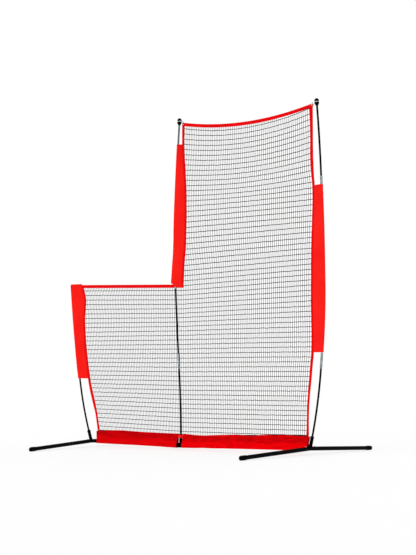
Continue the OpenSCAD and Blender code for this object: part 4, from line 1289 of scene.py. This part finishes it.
# %% Bottom cord
edge_cord_half = 3.4
edge_cord_waist = 3
edge_cord_flat = 0.45
edge_cord_dip = [(-800, -2), (-680, 0), (-600, -1), (-330, -4), (right_band[0], -5), (60, -13),
                 (140, -11), (213, -8), (309, -6), (385, -2), (480, -2), (597, -3), (700, 0),
                 (812, 0)]
cord_from, cord_to = left_outer(net_bottom) + 1, right_outer(net_bottom) - 1
cord_lumps = round((cord_to - cord_from) / column_pitch)
lump = column_pitch / 2
edge_cord = join([
    cord_piece(0, lump, edge_cord_half, edge_cord_waist, turned=True, sides=8),
    cord_piece(lump, 2 * lump, edge_cord_waist, edge_cord_half, turned=True, sides=8)],
    "bottom_edge_cord")
weld(edge_cord, meeting_gap)
edge_cord.scale.y = edge_cord_flat
place_in_mesh(edge_cord)
repeat(edge_cord, (column_pitch, 0, 0), cord_lumps)
close_ends(edge_cord, 8)
cord_line = np.array([(x, net_y, bottom_line(x) + flow(x, edge_cord_dip))
                      for x in np.linspace(cord_from, cord_to, 300)])
lay_along(edge_cord, cord_line, cord_line + np.array([0, -1, 0]))
edge_cord.data.materials.append(net_cord)
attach(edge_cord, "screen")
print("bottom cord: x %.0f to %.0f mm, %d triangles"
      % (cord_from, cord_to, triangles(edge_cord)))

# %% [markdown]
# ## The strap
# A short strap joins the two bands in front of the middle socket. It is pulled flat between them
# and bends only where it rounds the socket, so it is drawn from above as a straight tail, a half
# circle and another straight tail.

# %% The strap round the middle socket
strap_r = 12.45
strap_t = 1.0
strap_ends = (-26.5, 17.5)
strap_low = middle_z + 48
strap_tail_y = net_y / 3 + 0.6


def strap_path(u):
    """Seen from above, the way from the left band, round the socket's front, to the right band."""
    left_end, right_end = strap_ends
    round_len = pi * strap_r
    tails = (-left_end - strap_r, right_end - strap_r)
    s = u * (tails[0] + round_len + tails[1])
    if s < tails[0]:
        return left_end + s, strap_tail_y
    if s > tails[0] + round_len:
        return right_end - (tails[0] + round_len + tails[1] - s), strap_tail_y
    a = (s - tails[0]) / strap_r
    return -strap_r * cos(a), -strap_r * sin(a) + strap_tail_y * abs(cos(a)) ** 3


def strap_point(u, v):
    x, y = strap_path(u)
    return middle_x + x, y, strap_low + v * border_w


strap, strap_size = cloth_sheet("middle_strap_cloth", 60, 8, strap_point, strap_t)
strap.data.materials.append(sleeve_cloth)
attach(strap, "screen")
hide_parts("middle_strap")
print("strap: cut %.0f by %.0f mm" % (strap_size[0] / MM, strap_size[1] / MM))

# %% [markdown]
# ## Eyelets
# A loop that ran through bare cloth would tear it, so each top corner has a ring of nylon in a
# punched hole. A Boolean punches the hole. A ring is two torus lips, in front of and behind the
# tape, on a short barrel.

# %% Eyelets in the top tape's corners
eyelet_d = 6.4
eyelet_in = 11
eyelet_lip = 0.8
eyelet_sides = 32
eyelet_wall = 0.4


def eyelet(name, x):
    """Punches a hole through the tape and presses a red nylon ring into it."""
    z = top_line(x) - border_w / 2
    bpy.ops.object.select_all(action="DESELECT")
    bpy.ops.mesh.primitive_cylinder_add(
        vertices=eyelet_sides, radius=eyelet_d / 2 * MM, depth=8 * fold_r * MM,
        rotation=(pi / 2, 0, 0), location=at(x, net_y, z))
    punch = bpy.context.object
    hole = top_tape.modifiers.new("hole", "BOOLEAN")
    hole.operation = "DIFFERENCE"
    hole.object = punch
    apply_modifiers(top_tape)
    bpy.data.objects.remove(punch)
    parts = []
    for side in (-1, 1):
        bpy.ops.mesh.primitive_torus_add(
            major_segments=eyelet_sides, minor_segments=10,
            major_radius=(eyelet_d / 2 + eyelet_lip) * MM, minor_radius=eyelet_lip * MM,
            rotation=(pi / 2, 0, 0),
            location=at(x, net_y + side * (fold_r + tape_cloth_t / 2), z))
        parts.append(bpy.context.object)
    bpy.ops.mesh.primitive_cylinder_add(
        vertices=eyelet_sides, radius=(eyelet_d / 2 - 0.1) * MM, end_fill_type="NOTHING",
        depth=2 * fold_r * MM + tape_cloth_t * MM, rotation=(pi / 2, 0, 0),
        location=at(x, net_y, z))
    barrel = bpy.context.object
    wall = barrel.modifiers.new("wall", "SOLIDIFY")
    wall.thickness = eyelet_wall * MM
    apply_modifiers(barrel)
    ring = join(parts + [barrel], name)
    place_in_mesh(ring)
    ring.data.materials.append(eyelet_nylon)
    bpy.ops.object.shade_smooth_by_angle(angle=radians(50))
    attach(ring, "screen")
    print(name, triangles(ring), "triangles")


eyelet("eyelet_middle", top_left_x + eyelet_in)
eyelet("eyelet_right", top_right_x - eyelet_in)

# %% [markdown]
# ## Corner loops
# Each top corner of the net hangs on its knob by a ring of braided elastic. A cord that keeps its
# thickness is best drawn as a curve with a round bevel. Made a mesh, it gets a UV map that runs
# along and round the cord, which the braid follows.

# %% A closed cord along a route
def closed_cord(name, route, cord_r, steps, finish, widths=None):
    """route gives the places on the cord's line, and widths how thick it is at each of them."""
    bpy.ops.object.select_all(action="DESELECT")
    bpy.ops.curve.primitive_bezier_circle_add()
    ring = bpy.context.object
    ring.name = ring.data.name = name
    ring.data.splines.clear()
    spline = ring.data.splines.new("BEZIER")
    spline.bezier_points.add(len(route) - 1)
    for knot, place, width in zip(spline.bezier_points, route, widths or [1.0] * len(route)):
        knot.co = place
        knot.radius = width
        knot.handle_left_type = knot.handle_right_type = "AUTO"
    spline.use_cyclic_u = True
    spline.resolution_u = steps
    ring.data.bevel_depth = cord_r * MM
    ring.data.bevel_resolution = 3
    ring.data.materials.append(finish)
    select_only(ring)
    bpy.ops.object.convert(target="MESH")
    ring = bpy.context.object
    place_in_mesh(ring)
    return ring


print("cord helper ready")

# %% Two corner loops
loop_cord_d = 4
loop_gap = 0.3
knob_groove = 0.43


def corner_loop(name, node, tip, lean, toward, eyelet_x):
    """A ring of elastic round the knob's groove and through the eyelet in the top tape."""
    rise = knob_h * knob_groove + groove_h / 2 - knob_bore
    groove = (tip[1] + rise * sin(radians(lean)), tip[0] + rise * cos(radians(lean)))
    loop_r = groove_d / 2 + loop_cord_d / 2 + loop_gap
    eye_r = border_t / 2 + loop_cord_d / 2 + loop_gap
    clear_r = knob_d / 2 + loop_cord_d * 0.75
    slope = tan(radians(lean))
    eyelet_z = top_line(eyelet_x) - border_w / 2

    def level(dx, y):
        return at(groove[0] + dx, y, groove[1] - dx * slope)

    route = [level(toward * clear_r, -loop_r * 0.9)]
    route += [level(-toward * loop_r * cos(radians(a)), loop_r * sin(radians(a)))
              for a in range(-90, 73, 18)]
    route += [level(toward * clear_r, net_y + eye_r)]
    route += [at(eyelet_x + toward * eye_r * (cos(radians(a)) - 1),
                 net_y + eye_r * 1.4 * sin(radians(a)), eyelet_z) for a in range(90, -91, -30)]
    ring = closed_cord(name, route, loop_cord_d / 2, 6, loop_braid)
    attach(ring, "screen")
    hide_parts(node)
    print(name, triangles(ring), "triangles")
    return ring


corner_loop("corner_loop_middle_cord", "corner_loop_middle", middle_tip, middle_leans[-1],
            1, top_left_x + eyelet_in)
corner_loop("corner_loop_right_cord", "corner_loop_right", right_tip, right_leans[-1],
            -1, top_right_x - eyelet_in)

# %% [markdown]
# ## Tip knobs
# A knob is a body of revolution, moulded with a groove for the loop. It could be stacked from
# cones and a sphere, but its outline flows from one into the next, so half of it is drawn once
# and spun round the knob's axis. A bevel rounds the edges of the groove.

# %% Knobs on the two tall poles
knob_steps = 48
knob_edge = 0.7
knob_groove_z = knob_h * knob_groove


def knob(name, node, tip, lean):
    """Spins the knob's outline, given as radius and height, and sets it on the pole's end."""
    r, head_z = knob_d / 2, knob_groove_z + groove_h
    head_h = knob_h - head_z
    skirt = [(0.5, 0), (0.58, 0.12), (0.7, 0.33), (0.84, 0.56), (0.94, 0.74), (0.98, 0.88),
             (0.95, 1)]
    dome = [(r * 0.97 * cos(radians(a)), head_z + head_h * (0.08 + 0.92 * sin(radians(a))))
            for a in range(0, 90, 8)]
    outline = [(0, knob_bore)] + [(pole_d / 2, knob_bore), (pole_d / 2, 0)] + \
        [(r * share, knob_groove_z * z) for share, z in skirt] + \
        [(groove_d / 2, knob_groove_z + 0.4), (groove_d / 2, head_z - 0.4), (r * 0.93, head_z)] + \
        dome + [(0, knob_h)]
    bpy.ops.object.select_all(action="DESELECT")
    bpy.ops.mesh.primitive_plane_add(size=1)
    turned = bpy.context.object
    turned.name = turned.data.name = name
    bpy.ops.object.mode_set(mode="EDIT")
    bpy.ops.mesh.delete(type="VERT")
    shape = bmesh.from_edit_mesh(turned.data)
    dots = [shape.verts.new((radius * MM, 0, z * MM)) for radius, z in outline]
    for a, b in zip(dots, dots[1:]):
        shape.edges.new((a, b))
    bmesh.update_edit_mesh(turned.data)
    bpy.ops.mesh.select_all(action="SELECT")
    bpy.ops.mesh.spin(steps=knob_steps, angle=2 * pi, center=(0, 0, 0), axis=(0, 0, 1))
    bpy.ops.object.mode_set(mode="OBJECT")
    weld(turned, gap_mm=0.02)
    soft = turned.modifiers.new("moulded edges", "BEVEL")
    soft.width = knob_edge * MM
    soft.segments = 3
    soft.limit_method = "ANGLE"
    soft.angle_limit = radians(50)
    apply_modifiers(turned)
    heading = Vector((sin(radians(lean)), 0, cos(radians(lean))))
    turned.location = at(tip[1], 0, tip[0]) - heading * knob_bore * MM
    turned.rotation_euler = (0, radians(lean), 0)
    place_in_mesh(turned)
    bpy.ops.object.shade_smooth_by_angle(angle=radians(40))
    turned.data.materials.append(knob_nylon)
    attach(turned, "screen")
    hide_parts(node)
    print(name, triangles(turned), "triangles")


knob("knob_middle_turned", "knob_middle", middle_tip, middle_leans[-1])
knob("knob_right_turned", "knob_right", right_tip, right_leans[-1])

# %% [markdown]
# ## Weld beads
# Steel sockets are welded to the tubes. A weld is a rope of metal that follows the curve where
# two tubes meet, with a ripple for every drop that was laid down. So the curve is worked out
# point by point, and a closed cord of uneven thickness runs along it.

# %% Weld beads round the pole sockets
socket_d = 21
toe_in = 5.4
arm_drop = 0.037
bead_r = 1.7
bead_dots = 72


def weld_bead(name, centre, lean, tubes, tube_r):
    """A bead where an upright socket meets one straight tube, or two that meet below it. tubes
    gives the direction of the tube in front of the socket and of the one behind it."""
    axis = Vector((sin(radians(lean)), 0, cos(radians(lean))))
    sideways = Vector((axis.z, 0, -axis.x))
    places, widths = [], []
    for k in range(bead_dots):
        turn = 2 * pi * k / bead_dots
        rim = (sideways * cos(turn) + Vector((0, 1, 0)) * sin(turn)) * socket_d / 2
        tube = tubes[0] if rim.y < 0 else tubes[1]
        w, a = rim - tube * rim.dot(tube), axis - tube * axis.dot(tube)
        half = w.dot(a)
        rise = (-half + sqrt(half * half - a.dot(a) * (w.dot(w) - tube_r * tube_r))) / a.dot(a)
        places.append(at(*(Vector(centre) + rim * 1.04 + axis * rise)))
        widths.append(1.0 + 0.2 * (k % 2) + 0.15 * noise.noise(Vector((k * 0.3, centre[0], 0))))
    bead = closed_cord(name, places, bead_r, 3, steel_coat, widths)
    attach(bead, "screen")
    print(name, triangles(bead), "triangles")


def arm_way(side, front):
    """The way a foot arm points, from the hub on one side to the front (1) or the rear (-1)."""
    turn = radians(toe_in)
    return Vector((-side * sin(turn), -front * cos(turn), -arm_drop)).normalized()


weld_bead("weld_socket_left", (-half_hub, 0, hub_z), left_leans[0],
          (arm_way(-1, 1), arm_way(-1, -1)), tube_d / 2)
weld_bead("weld_socket_right", (half_hub, 0, hub_z), right_leans[0],
          (arm_way(1, 1), arm_way(1, -1)), tube_d / 2)
weld_bead("weld_socket_middle", (middle_x, 0, middle_z), middle_leans[0],
          (Vector((1, 0, 0)),) * 2, tee_d / 2)

# %% [markdown]
# ## Springs inside the tubes
# Each snap button sits on a bent strip of spring steel that gives when the button is pressed. Here
# a copy of every CAD spring takes its place, with a finish of spring steel, and the CAD spring is
# hidden.

# %% Copies of the springs
def giving_spring(node):
    """A copy of a CAD spring, in spring steel."""
    select_only(nodes[node])
    bpy.ops.object.duplicate()
    strip = bpy.context.object
    strip.name = strip.data.name = node + "_strip"
    weld(strip, gap_mm=0.01)
    strip.data.materials.clear()
    strip.data.materials.append(spring_metal)
    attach(strip, "screen")
    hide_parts(node)
    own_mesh(strip)
    return strip


strips = [giving_spring(soft["node"])
          for joint in frame["record"]["behaviour"]["joints"]
          for soft in joint.get("deforming_nodes", [])]
print(len(strips), "springs, each of", triangles(strips[0]), "triangles")

# %% [markdown]
# ## Finishes on the CAD pieces
# The hard pieces keep their CAD shape, so each only gets its material. A node's name says what it
# is, so the start of its name picks the finish.

# %% Dress the CAD nodes
dress = {"hub": steel_coat, "arm": steel_coat, "crossbar": steel_coat, "middle_tee": steel_coat,
         "cap": rubber, "socket_collars": collar_nylon, "tip_cap": collar_nylon,
         # The middle pole's tip section gets the grey rod, a painted highlight.
         "pole_middle_tip": grey_fibreglass_painted_highlight, "pole": fibreglass,
         "ferrules": ferrule_metal, "knob": knob_nylon, "button": button_zinc,
         "spring": spring_metal}
dressed = 0
for name, piece in nodes.items():
    finish = next((m for start, m in dress.items() if name.startswith(start)), None)
    if finish:
        piece.data.materials.clear()
        piece.data.materials.append(finish)
        dressed += 1
print("dressed", dressed, "CAD nodes")

# %% [markdown]
# ## Floor and light
# The floor is a wide pale sheet that glows a little, as a floor does between studio walls. Area
# lamps would have to be very large to light the whole screen evenly. Three suns, each softened
# over a wide cone, light it from in front, from the left and from behind, and the world fills in
# the rest, so hardly a shadow shows and black and red keep their depth.

# %% Floor
bpy.ops.object.select_all(action="DESELECT")
bpy.ops.mesh.primitive_plane_add(size=60, location=(0, 0, 0))
floor = bpy.context.object
floor.name = floor.data.name = "studio_floor"
floor_glow = 0.68
floor_paint, tree, shader = start_material("pale_floor_paint", 0.9, specular=0.1)
where = add(tree, "ShaderNodeTexCoord").outputs["Object"]
clouds = add(tree, "ShaderNodeTexNoise", {
    "Vector": where, "Scale": 1 / (900 * MM), "Detail": 3, "Roughness": 0.55})
tone = add(tree, "ShaderNodeMix", {0: clouds, 6: linear("#9c9c9c"), 7: linear("#a0a0a0")},
           data_type="RGBA")
wire(tree, shader, {"Base Color": tone.outputs[2], "Emission Color": (1, 1, 1, 1),
                    "Emission Strength": floor_glow})
floor.data.materials.append(floor_paint)
print("the floor glows at", floor_glow)


# %% Lights
def soft_sun(name, heading, height, power, spread=70):
    """A sun seen through a diffuser: parallel light, softened over a wide cone of directions."""
    bpy.ops.object.select_all(action="DESELECT")
    bpy.ops.object.light_add(type="SUN", rotation=(radians(90 - height), 0, radians(heading)))
    lamp = bpy.context.object
    lamp.name = name
    lamp.data.angle = radians(spread)
    lamp.data.energy = power
    return lamp


soft_sun("front_light", heading=10, height=38, power=1.02)
soft_sun("left_light", heading=-60, height=50, power=0.35)
soft_sun("back_light", heading=190, height=45, power=0.45)

world = bpy.data.worlds.new("studio_air")
bpy.context.scene.world = world
world.use_nodes = True
air = world.node_tree
seen = add(air, "ShaderNodeLightPath").outputs["Is Camera Ray"]
brightness = add(air, "ShaderNodeMapRange", {"Value": seen, "To Min": 0.5, "To Max": 1.0})
wire(air, air.nodes["Background"], {"Color": (1, 1, 1, 1), "Strength": brightness})
bpy.context.scene.view_settings.view_transform = "Standard"
